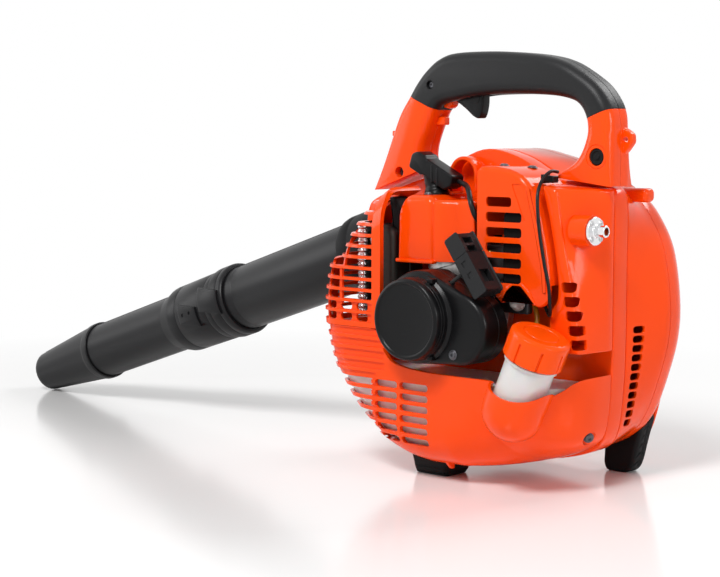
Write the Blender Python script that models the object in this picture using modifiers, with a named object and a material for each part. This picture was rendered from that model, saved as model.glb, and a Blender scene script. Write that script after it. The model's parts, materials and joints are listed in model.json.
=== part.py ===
"""Hand-held petrol leaf blower, built as an assembly of separate pieces.

Lengths are millimetres and MM turns them into Blender's metres. The blower's own frame has the crank
and fan axis along Y at x = 0, the handle's middle plane at y = 0 and the floor at z = 0. The blow tube
points to -X, the engine is on the -Y side and the air intake on the +Y side. At the end the whole
part is moved so that the middle of its base stands on the world origin.
"""

from math import cos, pi, radians, sin, tan

import bmesh
import bpy
import numpy as np
from mathutils import Matrix, Vector

MM = 0.001
GAP = 0.3  # between pieces that touch

# Fan, crank and case
CRANK_Z = 147.0
FAN_CENTRE = (0.0, CRANK_Z)
CASE_WALL = 2.6
CASE_SPLIT_Y = 20.0
CASE_FAR_Y = 100.0
CASE_EDGE_RADIUS = 28.0
INTAKE_RADIUS = 60.0
IMPELLER_RADIUS = 98.0
BLADES = 10

# Blow tube, which slopes down to the floor
TUBE_Y = 45.0
TUBE_SLOPE = radians(18.28)
SOCKET_X, SOCKET_Z = -228.0, 169.0
NOZZLE_END_X = -676.0
SLEEVE_RADIUS = 38.0

# Engine
ENGINE_Y = -30.0
CYLINDER_TILT = radians(15.0)
THROW = 15.0
BORE = 16.5
ROD_LENGTH = 56.0
CROWN_HEIGHT = 12.0
COVER_FRONT_Y = -52.0
SHROUD_NEAR_Y = -80.0

# Starter
STARTER_FRONT_Y = -90.0
STARTER_Y = -79.0
ROPE_FROM = (34.8, 180.9)
ROPE_DIRECTION = (0.821, 0.571)

# Handle
HANDLE_HALF = 17.0
HANDLE_EDGE = 9.0
MOUNT_AT = (134.0, 285.0)
GRIP_WALL = 4.2
TRIGGER_PIVOT = (-14.0, 343.5)

# Fuel neck, which leans to the rear
NECK_AT = (97.5, -70.0, 90.0)
NECK_LEAN = radians(23.0)

collection = bpy.data.collections.new("leaf_blower")
cutters = bpy.data.collections.new("leaf_blower_cutters")


# ---------------------------------------------------------------- materials

def material(name, colour, roughness, metallic=0.0):
    found = bpy.data.materials.get(name)
    if found:
        return found
    made = bpy.data.materials.new(name)
    made.use_nodes = True
    shader = made.node_tree.nodes["Principled BSDF"]
    shader.inputs["Base Color"].default_value = (*colour, 1.0)
    shader.inputs["Roughness"].default_value = roughness
    shader.inputs["Metallic"].default_value = metallic
    return made


def orange():
    return material("orange_plastic", (0.90, 0.09, 0.01), 0.28)


def black():
    return material("black_plastic", (0.02, 0.02, 0.022), 0.45)


def rubber():
    return material("black_rubber", (0.025, 0.025, 0.027), 0.8)


def aluminium():
    return material("cast_aluminium", (0.6, 0.6, 0.6), 0.4, 0.9)


def steel():
    return material("steel", (0.55, 0.55, 0.57), 0.25, 1.0)


def milky():
    return material("translucent_tank", (0.85, 0.78, 0.76), 0.35)


# ---------------------------------------------------------------- building blocks

def finish(made, finish_material, cutter=False):
    """Give an object its material, smooth its round faces and put it in its collection."""
    if made.type == "MESH" and made.data.polygons:
        made.data.shade_smooth()
        made.data.set_sharp_from_angle(angle=radians(32))
    made.data.materials.append(finish_material or black())
    if cutter:
        cutters.objects.link(made)
        made.hide_render = True
        made.display_type = "WIRE"
    else:
        collection.objects.link(made)
    made.parent = root
    return made


def mesh_object(name, points, faces, finish_material=None, cutter=False):
    """One closed mesh from points in millimetres, its normals made to point out."""
    data = bpy.data.meshes.new(name)
    data.from_pydata([tuple(MM * value for value in point) for point in points], [], faces)
    build = bmesh.new()
    build.from_mesh(data)
    bmesh.ops.triangulate(build, faces=build.faces)
    bmesh.ops.recalc_face_normals(build, faces=build.faces)
    build.to_mesh(data)
    build.free()
    return finish(bpy.data.objects.new(name, data), finish_material, cutter)


def loft(name, rings, finish_material=None, cutter=False):
    """A closed skin over rings of equal point counts, with a flat face at each end."""
    count = len(rings[0])
    points = [point for ring in rings for point in ring]
    faces = [
        (i * count + j, i * count + (j + 1) % count, (i + 1) * count + (j + 1) % count, (i + 1) * count + j)
        for i in range(len(rings) - 1)
        for j in range(count)
    ]
    faces.append(tuple(range(count)))
    faces.append(tuple(range((len(rings) - 1) * count, len(rings) * count)))
    return mesh_object(name, points, faces, finish_material, cutter)


def inset(outline, amounts, centre=None):
    """Move each corner of an (x, z) outline, listed anticlockwise, inwards by its amount.

    With a centre, corners move straight towards it, which suits edge radii larger than the outline's own.
    """
    points = np.array(outline, float)
    if centre is not None:
        offset = points - centre
        length = np.linalg.norm(offset, axis=1)
        kept = np.maximum(length - amounts, 2.0) / length
        return [tuple(point) for point in centre + offset * kept[:, None]]
    ahead = np.roll(points, -1, axis=0) - points
    ahead /= np.linalg.norm(ahead, axis=1)[:, None]
    behind = np.roll(ahead, 1, axis=0)
    inward = np.stack([-(ahead + behind)[:, 1], (ahead + behind)[:, 0]], axis=1)
    squared = np.maximum((inward**2).sum(axis=1), 0.6)
    moved = points + inward * (2.0 * np.broadcast_to(amounts, len(points)) / squared)[:, None]
    return [tuple(point) for point in moved]


def rounding(depth, radius):
    """How far in a rounded edge stands, at a depth behind the face it rounds into."""
    left = np.maximum(radius - depth, 0.0)
    return radius - np.sqrt(np.maximum(radius**2 - left**2, 0.0))


def plate(name, outline, y_near, y_far, finish_material=None, near=0.0, far=0.0, steps=4, cutter=False,
          centre=None):
    """An (x, z) outline carried along Y, its near and far edges rounded. A radius may differ by corner."""
    near_radius = np.broadcast_to(np.array(near, float), len(outline))
    far_radius = np.broadcast_to(np.array(far, float), len(outline))
    turns = [radians(90.0 * k / steps) for k in range(steps + 1)]
    ys = {y_near, y_far}
    if near_radius.max() > 0:
        ys |= {y_near + near_radius.max() * (1 - cos(turn)) for turn in turns}
    if far_radius.max() > 0:
        ys |= {y_far - far_radius.max() * (1 - cos(turn)) for turn in turns}
    rings = []
    for y in sorted(ys):
        amounts = rounding(y - y_near, near_radius) + rounding(y_far - y, far_radius)
        rings.append([(x, y, z) for x, z in inset(outline, amounts, centre)])
    return loft(name, rings, finish_material, cutter)


def box(name, low, high, finish_material=None, cutter=False, round_by=0.0):
    """A box between two corners, with its upright edges and front edge rounded."""
    (x0, y0, z0), (x1, y1, z1) = low, high
    if round_by:
        return plate(name, rounded_box(x0, z0, x1, z1, round_by), y0, y1, finish_material,
                     near=round_by * 0.8, steps=3, cutter=cutter)
    return plate(name, [(x0, z0), (x1, z0), (x1, z1), (x0, z1)], y0, y1, finish_material, cutter=cutter)


def boxes(name, corners):
    """One cutter made of many boxes that don't meet."""
    points, faces = [], []
    for (x0, y0, z0), (x1, y1, z1) in corners:
        first = len(points)
        points += [(x, y, z) for z in (z0, z1) for y in (y0, y1) for x in (x0, x1)]
        faces += [
            tuple(first + k for k in side)
            for side in ((0, 1, 3, 2), (4, 6, 7, 5), (0, 4, 5, 1), (2, 3, 7, 6), (0, 2, 6, 4), (1, 5, 7, 3))
        ]
    return mesh_object(name, points, faces, cutter=True)


def arc(centre, radius, start, end, count):
    """Points along an arc in the (x, z) plane, from start to end degrees."""
    return [
        (centre[0] + radius * cos(radians(a)), centre[1] + radius * sin(radians(a)))
        for a in np.linspace(start, end, count)
    ]


def rounded_box(x0, z0, x1, z1, radius, count=4):
    corners = ((x1, z0, -90), (x1, z1, 0), (x0, z1, 90), (x0, z0, 180))
    outline = []
    for x, z, start in corners:
        centre = (x - radius if x == x1 else x + radius, z - radius if z == z1 else z + radius)
        outline += arc(centre, radius, start, start + 90, count)
    return outline


def through(controls, per_span=2):
    """A closed smooth curve through a few corners (Catmull-Rom)."""
    points = np.array(controls, float)
    curve = []
    for i in range(len(points)):
        a, b, c, d = (points[(i + k) % len(points)] for k in (-1, 0, 1, 2))
        for step in range(per_span):
            t = step / per_span
            curve.append(tuple(0.5 * (2 * b + (c - a) * t + (2 * a - 5 * b + 4 * c - d) * t**2
                                      + (3 * b - a - 3 * c + d) * t**3)))
    return curve


def smooth_path(controls, spacing):
    """An open smooth curve through 3-D points, with its points about one spacing apart."""
    points = [Vector(point) for point in controls]
    points = [2 * points[0] - points[1]] + points + [2 * points[-1] - points[-2]]
    path = []
    for a, b, c, d in zip(points, points[1:], points[2:], points[3:]):
        count = max(1, round((c - b).length / spacing))
        for step in range(count):
            t = step / count
            path.append(0.5 * (2 * b + (c - a) * t + (2 * a - 5 * b + 4 * c - d) * t**2
                               + (3 * b - a - 3 * c + d) * t**3))
    return path + [points[-2]]


def turned(name, profile, at, axis, finish_material=None, steps=24, cutter=False):
    """A profile of (radius, height) turned round an axis; it runs down the outer side first."""
    data = bpy.data.meshes.new(name)
    edges = [(i, i + 1) for i in range(len(profile) - 1)]
    if min(profile[0][0], profile[-1][0]) > 0:
        edges.append((len(profile) - 1, 0))
    data.from_pydata([(MM * radius, 0.0, MM * height) for radius, height in profile], edges, [])
    made = bpy.data.objects.new(name, data)
    screw = made.modifiers.new("turn", "SCREW")
    screw.steps = screw.render_steps = steps
    screw.use_merge_vertices = True
    screw.merge_threshold = 0.00001
    made.location = MM * Vector(at)
    made.rotation_euler = Vector(axis).to_track_quat("Z", "Y").to_euler()
    return finish(made, finish_material, cutter)


def rod(name, start, end, radius, finish_material=None, sides=16, cutter=False, tip=None):
    """A round bar between two points, or a cone where it has a tip radius."""
    length = (Vector(end) - Vector(start)).length
    tip_radius = radius if tip is None else tip
    profile = [(0.0, length), (tip_radius, length), (radius, 0.0), (0.0, 0.0)]
    axis = Vector(end) - Vector(start)
    return turned(name, profile, start, axis, finish_material, sides, cutter)


def cord(name, route, radius, finish_material, spacing):
    """A cord along its route: a round tube whose ends are filled."""
    curve = bpy.data.curves.new(name, "CURVE")
    curve.dimensions = "3D"
    curve.bevel_depth = MM * radius
    curve.bevel_resolution = 2
    curve.use_fill_caps = True
    path = smooth_path(route, spacing)
    spline = curve.splines.new("POLY")
    spline.points.add(len(path) - 1)
    for point, place in zip(spline.points, path):
        point.co = (*(MM * place), 1.0)
    return finish(bpy.data.objects.new(name, curve), finish_material)


def boolean(target, other, operation):
    modifier = target.modifiers.new(f"{operation.lower()}_{other.name}", "BOOLEAN")
    modifier.operation = operation
    modifier.object = other
    modifier.solver = "EXACT"
    return target


def cut(target, *others):
    for other in others:
        boolean(target, other, "DIFFERENCE")
    return target


def fuse(target, *others):
    for other in others:
        boolean(target, other, "UNION")
    return target


def keep(target, other):
    return boolean(target, other, "INTERSECT")


def pivot(made, point):
    """Put an object's origin on its joint's axis and leave its shape where it is."""
    shift = Matrix.Translation(MM * Vector(point))
    made.data.transform(shift.inverted())
    made.location = MM * Vector(point)
    return made


def carried(name, point, *pieces):
    """An empty on a joint's axis, which carries the pieces that move together."""
    empty = bpy.data.objects.new(name, None)
    empty.location = MM * Vector(point)
    empty.parent = root
    collection.objects.link(empty)
    for piece in pieces:
        piece.parent = empty
        piece.matrix_parent_inverse = Matrix.Translation(-MM * Vector(point))
    return empty


# ---------------------------------------------------------------- places along the tilted axes

def on_tube(x):
    """The point of the blow tube's axis at a distance x along the blower."""
    return (x, TUBE_Y, SOCKET_Z + (x - SOCKET_X) * tan(TUBE_SLOPE))


def along_tube(x):
    """The height of x along the tube's axis, counted from the socket towards the fan."""
    return (x - SOCKET_X) / cos(TUBE_SLOPE)


TUBE_AXIS = (cos(TUBE_SLOPE), 0.0, sin(TUBE_SLOPE))
CYLINDER_AXIS = (-sin(CYLINDER_TILT), 0.0, cos(CYLINDER_TILT))
NECK_AXIS = (sin(NECK_LEAN), 0.0, cos(NECK_LEAN))


def tube_piece(name, outer, inner, finish_material, steps=24, cutter=False):
    """A hollow turned piece of the blow tube from (x, radius) pairs, both listed from the fan outwards."""
    profile = [(radius, along_tube(x)) for x, radius in outer]
    profile += [(radius, along_tube(x)) for x, radius in reversed(inner)]
    return turned(name, profile, on_tube(SOCKET_X), TUBE_AXIS, finish_material, steps, cutter)


def on_cylinder(height, y=ENGINE_Y):
    """A point of the cylinder's axis, at a height above the crank."""
    return (height * CYLINDER_AXIS[0], y, CRANK_Z + height * CYLINDER_AXIS[2])


def beside_cylinder(across, height):
    """An (x, z) point beside the cylinder's axis."""
    return (across * cos(CYLINDER_TILT) - height * sin(CYLINDER_TILT),
            CRANK_Z + across * sin(CYLINDER_TILT) + height * cos(CYLINDER_TILT))


def on_neck(distance):
    return tuple(np.array(NECK_AT) + distance * np.array(NECK_AXIS))


# ---------------------------------------------------------------- fan case and fan

LEFT_SIDE = [(0, 289.5), (-45, 270.5), (-90, 255.6), (-124, 243.5), (-136, 232), (-138.5, 200), (-136, 158),
             (-131, 113), (-115, 75), (-88, 43), (-48, 20.5), (0, 13.8)]
SQUARE_SIDE = [(60, 17.5), (102, 25), (126, 35), (136, 52), (140.5, 90), (142, 130), (142, 165), (142, 205),
               (142, 235), (138.5, 255), (120, 262), (76, 266.5), (38, 284)]
ROUND_SIDE = [(60, 18.5), (98, 27), (120, 40), (134, 58), (146, 88), (156, 124), (157.5, 160), (150, 205),
              (134, 235), (118, 251), (100, 263), (74, 273.5), (44, 283.5)]


# A rib behind the rear skid, from the case's lower corner up to its widest point
REAR_RIM = [(98, 33), (108, 29), (116, 32.5), (121, 42), (125, 54), (129, 70), (134, 88), (110, 92), (95, 60)]


def case_outline(roundness):
    """The scroll's outline: square at the engine side, rounder and deeper at the intake side."""
    side = [
        tuple((1 - roundness) * a + roundness * b for a, b in zip(square, bulged))
        for square, bulged in zip(SQUARE_SIDE, ROUND_SIDE)
    ]
    return through(LEFT_SIDE + side)


def case_rings(offset, y_near, y_far, edge_radius, steps=3):
    """Rings of the outer case half, whose far edge is rounded."""
    ys = [y_near, 42.0]
    ys += [y_far - edge_radius * (1 - cos(radians(90.0 * k / steps))) for k in range(steps, -1, -1)]
    rings = []
    for y in ys:
        roundness = min(max((y - CASE_SPLIT_Y) / 40.0, 0.0), 1.0)
        amount = offset + float(rounding(y_far - y, edge_radius))
        rings.append([(x, y, z) for x, z in inset(case_outline(roundness), amount, FAN_CENTRE)])
    return rings


def outlet_cutter(name):
    return rod(name, on_tube(-60), on_tube(-170), SLEEVE_RADIUS + GAP, sides=28, cutter=True)


def build_fan_case():
    inner = plate("fan_case_inner", case_outline(0), 0, CASE_SPLIT_Y, orange())
    cut(inner,
        plate("inner_hollow", inset(case_outline(0), CASE_WALL), 3, CASE_SPLIT_Y + 5, cutter=True),
        rod("shaft_hole", (0, -5, CRANK_Z), (0, 10, CRANK_Z), 20, cutter=True),
        outlet_cutter("inner_outlet"))

    outer = loft("fan_case_outer", case_rings(0, CASE_SPLIT_Y + GAP, CASE_FAR_Y, CASE_EDGE_RADIUS), orange())
    hollow = case_rings(CASE_WALL, CASE_SPLIT_Y - 3, CASE_FAR_Y - CASE_WALL, CASE_EDGE_RADIUS - CASE_WALL)
    fuse(outer,
         box("rear_boss", (118, 36, 246), (149, 50, 257), cutter=True, round_by=3),
         plate("rear_rim", REAR_RIM, 94.6, 97.6, cutter=True))
    room = loft("outer_hollow", hollow, cutter=True)
    fuse(room, rod("intake_hole", (0, 85, CRANK_Z), (0, 110, CRANK_Z), INTAKE_RADIUS, sides=32, cutter=True))
    cut(outer, room, outlet_cutter("outer_outlet"),
        boxes("rear_slots", [((125, 26.5, z), (160, 38, z + 6.2)) for z in np.linspace(51.5, 133.5, 11)]))


def build_intake_guard():
    """Spokes and rings over the air intake, on the case's far face."""
    near, far = CASE_FAR_Y + GAP, CASE_FAR_Y + 3.3
    guard = rod("intake_guard", (0, near, CRANK_Z), (0, far + 6, CRANK_Z), INTAKE_RADIUS + 9, black(), 24,
                tip=INTAKE_RADIUS - 14)
    cut(guard, rod("guard_hollow", (0, near - 1, CRANK_Z), (0, far + 3.5, CRANK_Z), INTAKE_RADIUS + 6.5,
                   sides=24, cutter=True, tip=INTAKE_RADIUS - 16))
    openings = []
    for count, low, high in ((8, 37, 55), (6, 13, 34)):
        for k in range(count):
            start, end = (360.0 * (k + edge) / count for edge in (0.08, 0.92))
            openings.append(arc(FAN_CENTRE, high, start, end, 3) + arc(FAN_CENTRE, low, end, start, 2))
    for number, opening in enumerate(openings):
        cut(guard, plate(f"guard_opening_{number}", opening, near - 3, far + 12, cutter=True))


def blade_outline():
    """A hub with blades that sweep backwards, all as one outline."""
    outline = []
    hub = 20.0
    for number in range(BLADES):
        start = 360.0 * number / BLADES
        for side, radii in ((0.0, (hub, 54, IMPELLER_RADIUS)), (2.4, (IMPELLER_RADIUS, 54, hub))):
            for radius in radii:
                sweep = start - 38.0 * ((radius - hub) / (IMPELLER_RADIUS - hub)) ** 0.8
                angle = radians(sweep) + side / radius
                outline.append((radius * cos(angle), CRANK_Z + radius * sin(angle)))
    return outline


def build_fan():
    impeller = turned("fan_impeller", [(IMPELLER_RADIUS, 0), (IMPELLER_RADIUS, -3), (13, -3), (13, 0)],
                      (0, 6, CRANK_Z), (0, -1, 0), black(), 30)
    fuse(impeller, plate("blades", blade_outline(), 8, 76, cutter=True))
    cut(impeller,
        rod("hub_bore", (0, 0, CRANK_Z), (0, 90, CRANK_Z), 6.4, cutter=True),
        rod("hub_recess", (0, 30, CRANK_Z), (0, 90, CRANK_Z), 15, cutter=True))
    nut = plate("fan_nut", arc(FAN_CENTRE, 10, 0, 300, 6), 30 + GAP, 37, steel())
    cut(nut, rod("nut_bore", (0, 20, CRANK_Z), (0, 50, CRANK_Z), 6.3, cutter=True))
    return impeller, nut


# ---------------------------------------------------------------- blow tube

def build_tube():
    tube_piece("outlet_sleeve", [(-118, SLEEVE_RADIUS), (-178, SLEEVE_RADIUS), (-186, SLEEVE_RADIUS - 3)],
               [(-118, 32), (-159, 32), (-159, 34.3), (-186, 34.3)], black())
    tube_piece("upper_tube", [(-159.5, 34), (-396, 33)], [(-159.5, 31.8), (-396, 30.8)], black())
    ring = tube_piece("coupling_ring", [(-346, 36.2), (-349, 38), (-366, 38)], [(-346, 33.7), (-366, 33.7)],
                      black())
    lugs = tube_piece("lug_ring", [(-350, 41.5), (-378, 41.5)], [(-350, 36.9), (-378, 36.9)], black(),
                      cutter=True)
    lug_zone = boxes("lug_zones", [((-420, TUBE_Y + side - 45, 116), (-330, TUBE_Y + side + 45, 140))
                                   for side in (-60, 60)])
    keep(lugs, lug_zone)
    fuse(ring, lugs)
    lower = tube_piece("lower_tube",
                       [(-367, 36.4), (-432, 35.8), (-447, 30.6), (-586, 30.0)],
                       [(-367, 33.6), (-428, 33.4), (-443, 28.2), (-586, 27.8)], black())
    pad = tube_piece("thumb_pad", [(-386, 39.2), (-412, 38.6)], [(-386, 35), (-412, 35)], None, cutter=True)
    keep(pad, box("pad_zone", (-430, TUBE_Y - 60, 100), (-370, TUBE_Y - 20, 120), cutter=True))
    fuse(lower, pad)
    tip = tube_piece("nozzle_tip",
                     [(-572, 32.4), (-580, 32.4), (-582, 31.0), (NOZZLE_END_X, 22.1)],
                     [(-572, 30.4), (-587, 30.4), (-587, 28.4), (NOZZLE_END_X, 19.7)], black())
    carried("tube_turn_axis", on_tube(-367), lower, tip)


# ---------------------------------------------------------------- engine

def build_crankcase():
    shape = arc(FAN_CENTRE, 34, 140, 400, 16)
    shape += [beside_cylinder(19.5, 39.6), beside_cylinder(-19.5, 39.6)]
    bore = rod("crankcase_bore", on_cylinder(20), on_cylinder(60), BORE, cutter=True)
    for name, near, far, wall_low, wall_high in (
        ("crankcase_starter_half", -48.0, ENGINE_Y - GAP / 2, -44.0, -20.0),
        ("crankcase_fan_half", ENGINE_Y + GAP / 2, -12.0, -40.0, -16.0),
    ):
        half = plate(name, shape, near, far, aluminium())
        cut(half,
            turned(f"{name}_room",
                   [(0, 0), (13.3, 0), (13.3, wall_high), (28, wall_high), (28, wall_low), (13.3, wall_low),
                    (13.3, -60), (0, -60)],
                   (0, 0, CRANK_Z), (0, 1, 0), None, 24, True),
            bore)
    for name, y, shaft in (("starter_side_bearing", -48.0, 6.3), ("fan_side_bearing", -16.5, 8.3)):
        turned(name, [(13, 4.5), (13, 0), (shaft, 0), (shaft, 4.5)], (0, y, CRANK_Z), (0, 1, 0), steel(), 20)


def build_crank():
    """Two pressed halves on one axis. The pin between them rides with the rod, in clearance."""
    starter_half = turned("crank_starter_half", [(0, 24), (26, 24), (26, 18), (6, 18), (6, 0), (0, 0)],
                          (0, -60, CRANK_Z), (0, 1, 0), steel(), 20)
    fan_half = turned("crank_fan_half",
                      [(0, 60), (6, 60), (6, 20), (8, 20), (8, 6), (26, 6), (26, 0), (0, 0)],
                      (0, -24, CRANK_Z), (0, 1, 0), steel(), 20)
    flywheel = turned("flywheel", [(39, 8), (39, 0), (8.3, 0), (8.3, 8)], (0, -11, CRANK_Z), (0, 1, 0),
                      aluminium(), 28)
    impeller, nut = build_fan()
    pivot(nut, (0, 0, CRANK_Z))
    carried("crank_axis", (0, 0, CRANK_Z), starter_half, fan_half, flywheel, impeller, nut)


def build_piston():
    pin_height = THROW + ROD_LENGTH
    skirt, crown = pin_height - CROWN_HEIGHT, pin_height + CROWN_HEIGHT
    piston = turned("piston",
                    [(0, crown), (BORE - GAP, crown), (BORE - GAP, skirt), (13, skirt), (13, crown - 4),
                     (0, crown - 4)],
                    on_cylinder(0), CYLINDER_AXIS, aluminium(), 16)
    x, y, z = on_cylinder(pin_height)
    cut(piston, rod("piston_pin_hole", (x, y - 25, z), (x, y + 25, z), 4.3, sides=12, cutter=True))
    pin = rod("piston_pin", (x, y - 12, z), (x, y + 12, z), 4, steel(), 12)

    small, big = beside_cylinder(0, pin_height), beside_cylinder(0, THROW)
    tilt = 90 + CYLINDER_TILT * 180 / pi
    outline = arc(small, 7.5, tilt - 130, tilt + 130, 9) + arc(big, 9.5, tilt + 40, tilt + 320, 11)
    connecting = plate("connecting_rod", outline, ENGINE_Y - 4, ENGINE_Y + 4, steel())
    cut(connecting,
        rod("small_eye", (small[0], -60, small[1]), (small[0], 0, small[1]), 4.3, sides=12, cutter=True),
        rod("big_eye", (big[0], -60, big[1]), (big[0], 0, big[1]), 5.3, sides=12, cutter=True))
    big_pin = rod("crank_pin", (big[0], ENGINE_Y - 5, big[1]), (big[0], ENGINE_Y + 5, big[1]), 5, steel(), 12)
    carried("piston_axis", on_cylinder(0), piston, pin, connecting, big_pin)


def build_cylinder():
    profile = [(5.3, 94), (19, 94)]
    for number in range(4):
        height = 91.0 - 11.0 * number
        profile += [(22, height), (22, height - 2.4), (19.5, height - 2.4), (19.5, height - 8.6)]
    profile += [(20, 44), (20, 40), (BORE, 40), (BORE, 86), (5.3, 86)]
    turned("cylinder", profile, on_cylinder(0), CYLINDER_AXIS, aluminium(), 16)
    turned("spark_plug",
           [(0, 119), (3, 119), (3, 114), (4.5, 113), (4.5, 103), (8.5, 102), (8.5, 94 + GAP), (5, 94 + GAP),
            (5, 84.5), (0, 84.5)],
           on_cylinder(0), CYLINDER_AXIS, steel(), 12)
    boot_arm = plate("spark_plug_boot", [(-54, 275), (-47, 270), (-12.5, 253.5), (-5, 258), (-3, 267),
                                         (-43, 287), (-50, 285)],
                     ENGINE_Y - 9, ENGINE_Y + 9, rubber(), near=3, far=3, steps=2)
    fuse(boot_arm, rod("boot_leg", on_cylinder(104), on_cylinder(126), 8.6, cutter=True))
    cut(boot_arm, rod("boot_bore", on_cylinder(100), on_cylinder(121), 5.4, sides=12, cutter=True))
    cord("ignition_lead",
         [(-2.2, ENGINE_Y, 261.5), (9, -34, 258.5), (20, -44, 253.5), (28, -51, 244), (31.5, -49, 233),
          (31.5, -38, 224), (31, -26, 219), (30.5, -13, 214)],
         2.4, rubber(), 6)
    coil = plate("ignition_coil", rounded_box(19, 190, 45, 212, 3), -13 + 1, -4, black(), near=1.5, steps=2)
    cut(coil, rod("coil_gap", (0, -20, CRANK_Z), (0, 0, CRANK_Z), 40.5, sides=32, cutter=True))


def build_exhaust():
    muffler = box("muffler", (-98, -58, 140), (-54, -14, 222), steel(), round_by=10)
    fuse(muffler, rod("muffler_inlet", (-60, ENGINE_Y, 201), (-39.8, ENGINE_Y, 201), 10, cutter=True))


def build_intake_tract():
    box("intake_insulator", (9.6, -42, 191.5), (20, -18, 206), black())
    carburetor = box("carburetor", (20 + GAP, -44, 178), (58, -16, 208), aluminium(), round_by=3)
    fuse(carburetor,
         box("primer_arm", (50, -43, 160), (57.5, -37, 182), cutter=True),
         box("primer_bracket", (48, -43.4, 151), (84.5, -36.6, 171), cutter=True))
    cut(carburetor, rod("primer_recess", (74, -50, 161), (74, -39.5, 161), 8.6, cutter=True))
    box("air_filter_element", (60, -48, 176), (86, -16, 238), rubber(), round_by=4)
    turned("primer_bulb", [(0, 8), (4, 7.2), (6.8, 4.5), (7.6, 1), (7.6, 0), (0, 0)], (74, -43.6, 161),
           (0, -1, 0), milky(), 16)
    lever = plate("throttle_lever", arc((44, 186), 5, 60, 240, 6) + [(49, 173), (55, 177)], -47, -45, steel())
    pivot(lever, (44, -46, 186))
    choke_shape = arc((96, 181), 5, 0, 180, 6) + [(92.5, 160), (99.5, 160)]
    choke = plate("choke_lever", choke_shape, -47.6, -45, black())
    pivot(choke, (96, -47, 181))


# ---------------------------------------------------------------- recoil starter

def build_starter():
    def housing_outline(shrink):
        return (arc((1, CRANK_Z - 1), 41 - shrink, 78, 262, 11)
                + arc((43, CRANK_Z - 8), 31 - shrink, 262, 438, 9))

    housing = plate("starter_housing", housing_outline(0), STARTER_FRONT_Y, -58, black(), near=4, steps=2)
    fuse(housing, turned("starter_boss", [(0, 17), (34.5, 17), (37.5, 14), (37.5, -1), (0, -1)],
                         (0, STARTER_FRONT_Y, CRANK_Z - 1), (0, -1, 0), None, 24, True))
    cut(housing,
        plate("starter_room", housing_outline(2.6), STARTER_FRONT_Y + 2.6, -50, cutter=True),
        rod("rope_hole", (20.4, STARTER_Y, 170.9), (45.1, STARTER_Y, 188.1), 3, sides=12, cutter=True))
    fuse(housing, rod("pulley_post", (0, STARTER_FRONT_Y + 1, CRANK_Z), (0, -64, CRANK_Z), 6, cutter=True))
    turned("starter_pulley",
           [(6.4, 13), (30, 13), (30, 10.5), (27, 8.5), (27, 4.5), (30, 2.5), (30, 0), (6.4, 0)],
           (0, -79.5, CRANK_Z), (0, 1, 0), black(), 24)
    turned("recoil_spring", [(27, 6.5), (27, 0), (7, 0), (7, 6.5)], (0, -86.8, CRANK_Z), (0, 1, 0),
           steel(), 24)

    reach = Vector((ROPE_DIRECTION[0], 0, ROPE_DIRECTION[1]))
    start = Vector((ROPE_FROM[0], STARTER_Y, ROPE_FROM[1]))
    rod("starter_rope", start, start + 15.4 * reach, 1.8, rubber(), 10)
    centre = start + 22.8 * reach
    across = Vector((reach.z, 0, -reach.x))
    ends = [centre + a * across + b * reach
            for a, b in ((-28, -5), (-24, -7), (24, -7), (28, -4), (28, 4), (25, 7), (-22, 7), (-28, 4))]
    handle = plate("starter_handle", [(end.x, end.z) for end in reversed(ends)], STARTER_Y - 11.5,
                   STARTER_Y + 11.5, black(), near=3, far=3, steps=2)
    pivot(handle, centre)


# ---------------------------------------------------------------- covers on the engine side

def cover_wing(name, shrink, low, high):
    """The stretch between the cylinder and the carburettor cover; its front slopes back round the fins."""
    front = [(-20, -57), (-3, -57), (13, -46.8), (28 + shrink, -46.8)]
    back = -3.6 + 3 * shrink
    outline = [(x, y + shrink) for x, y in front] + [(28 + shrink, back), (-20, back)]
    return loft(name, [[(x, y, z) for x, y in outline] for z in (low, high)], orange(), cutter=True)


def build_cylinder_cover():
    cover = box("cylinder_cover", (-49, -60, 190), (-8, -3, 250), orange(), round_by=7)
    fuse(cover, cover_wing("cover_wing", 0, 192, 246.2))
    cut(cover,
        box("cover_room", (-47, -58, 180), (-10, 5, 248), cutter=True, round_by=6),
        cover_wing("wing_room", 2.2, 180, 244.2),
        rod("plug_hole", on_cylinder(95), on_cylinder(150), 12, sides=20, cutter=True),
        rod("exhaust_hole", (-70, ENGINE_Y, 201), (-30, ENGINE_Y, 201), 12, sides=20, cutter=True))


def cover_outline():
    return [(35.5, 171), (48, 169), (57, 165), (64, 160), (69, 170), (75, 175), (83, 175), (90, 168),
            (96, 160), (104, 158.5), (111.5, 165), (112, 180), (108, 206), (100.5, 238), (93, 257),
            (84, 268), (70, 274), (54, 276.5), (40, 276.5), (35.5, 272)]


def build_carburetor_cover():
    cover = plate("carburetor_cover", cover_outline(), COVER_FRONT_Y, -3, orange(), near=5, steps=3)
    slots = [((45, -60, z), (83 if row else 72, -40, z + 8.2))
             for row, z in enumerate(np.linspace(242.4, 177.4, 6))]
    slots.append(((53, -60, 168), (62, -40, 173.5)))
    cut(cover,
        plate("carburetor_room", inset(cover_outline(), 2.2), COVER_FRONT_Y + 2.2, 5, cutter=True, near=3,
              steps=2),
        box("carburetor_gate", (30, -45.5, 178), (40, 0, 216), cutter=True),
        box("arch_gate", (30, -48, 150), (112, 0, 178), cutter=True),
        boxes("cover_slots", slots))


def shroud_ring(y, shrink, slant):
    """The engine shroud's outline at one depth. Its rear edge slants in towards the top on the near side."""
    front_edge = [(97, 261.5), (103.5, 240), (111, 206), (115, 180), (114.5, 165), (107, 156), (105, 121)]
    rear_edge = [(138, 121), (136, 140), (128, 180), (122, 205), (116, 235), (112.5, 258)]
    rear_edge = [(x + (142 - x) * slant, z) for x, z in rear_edge]
    return [(x, y, z) for x, z in inset(front_edge + rear_edge, shrink)]


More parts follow.
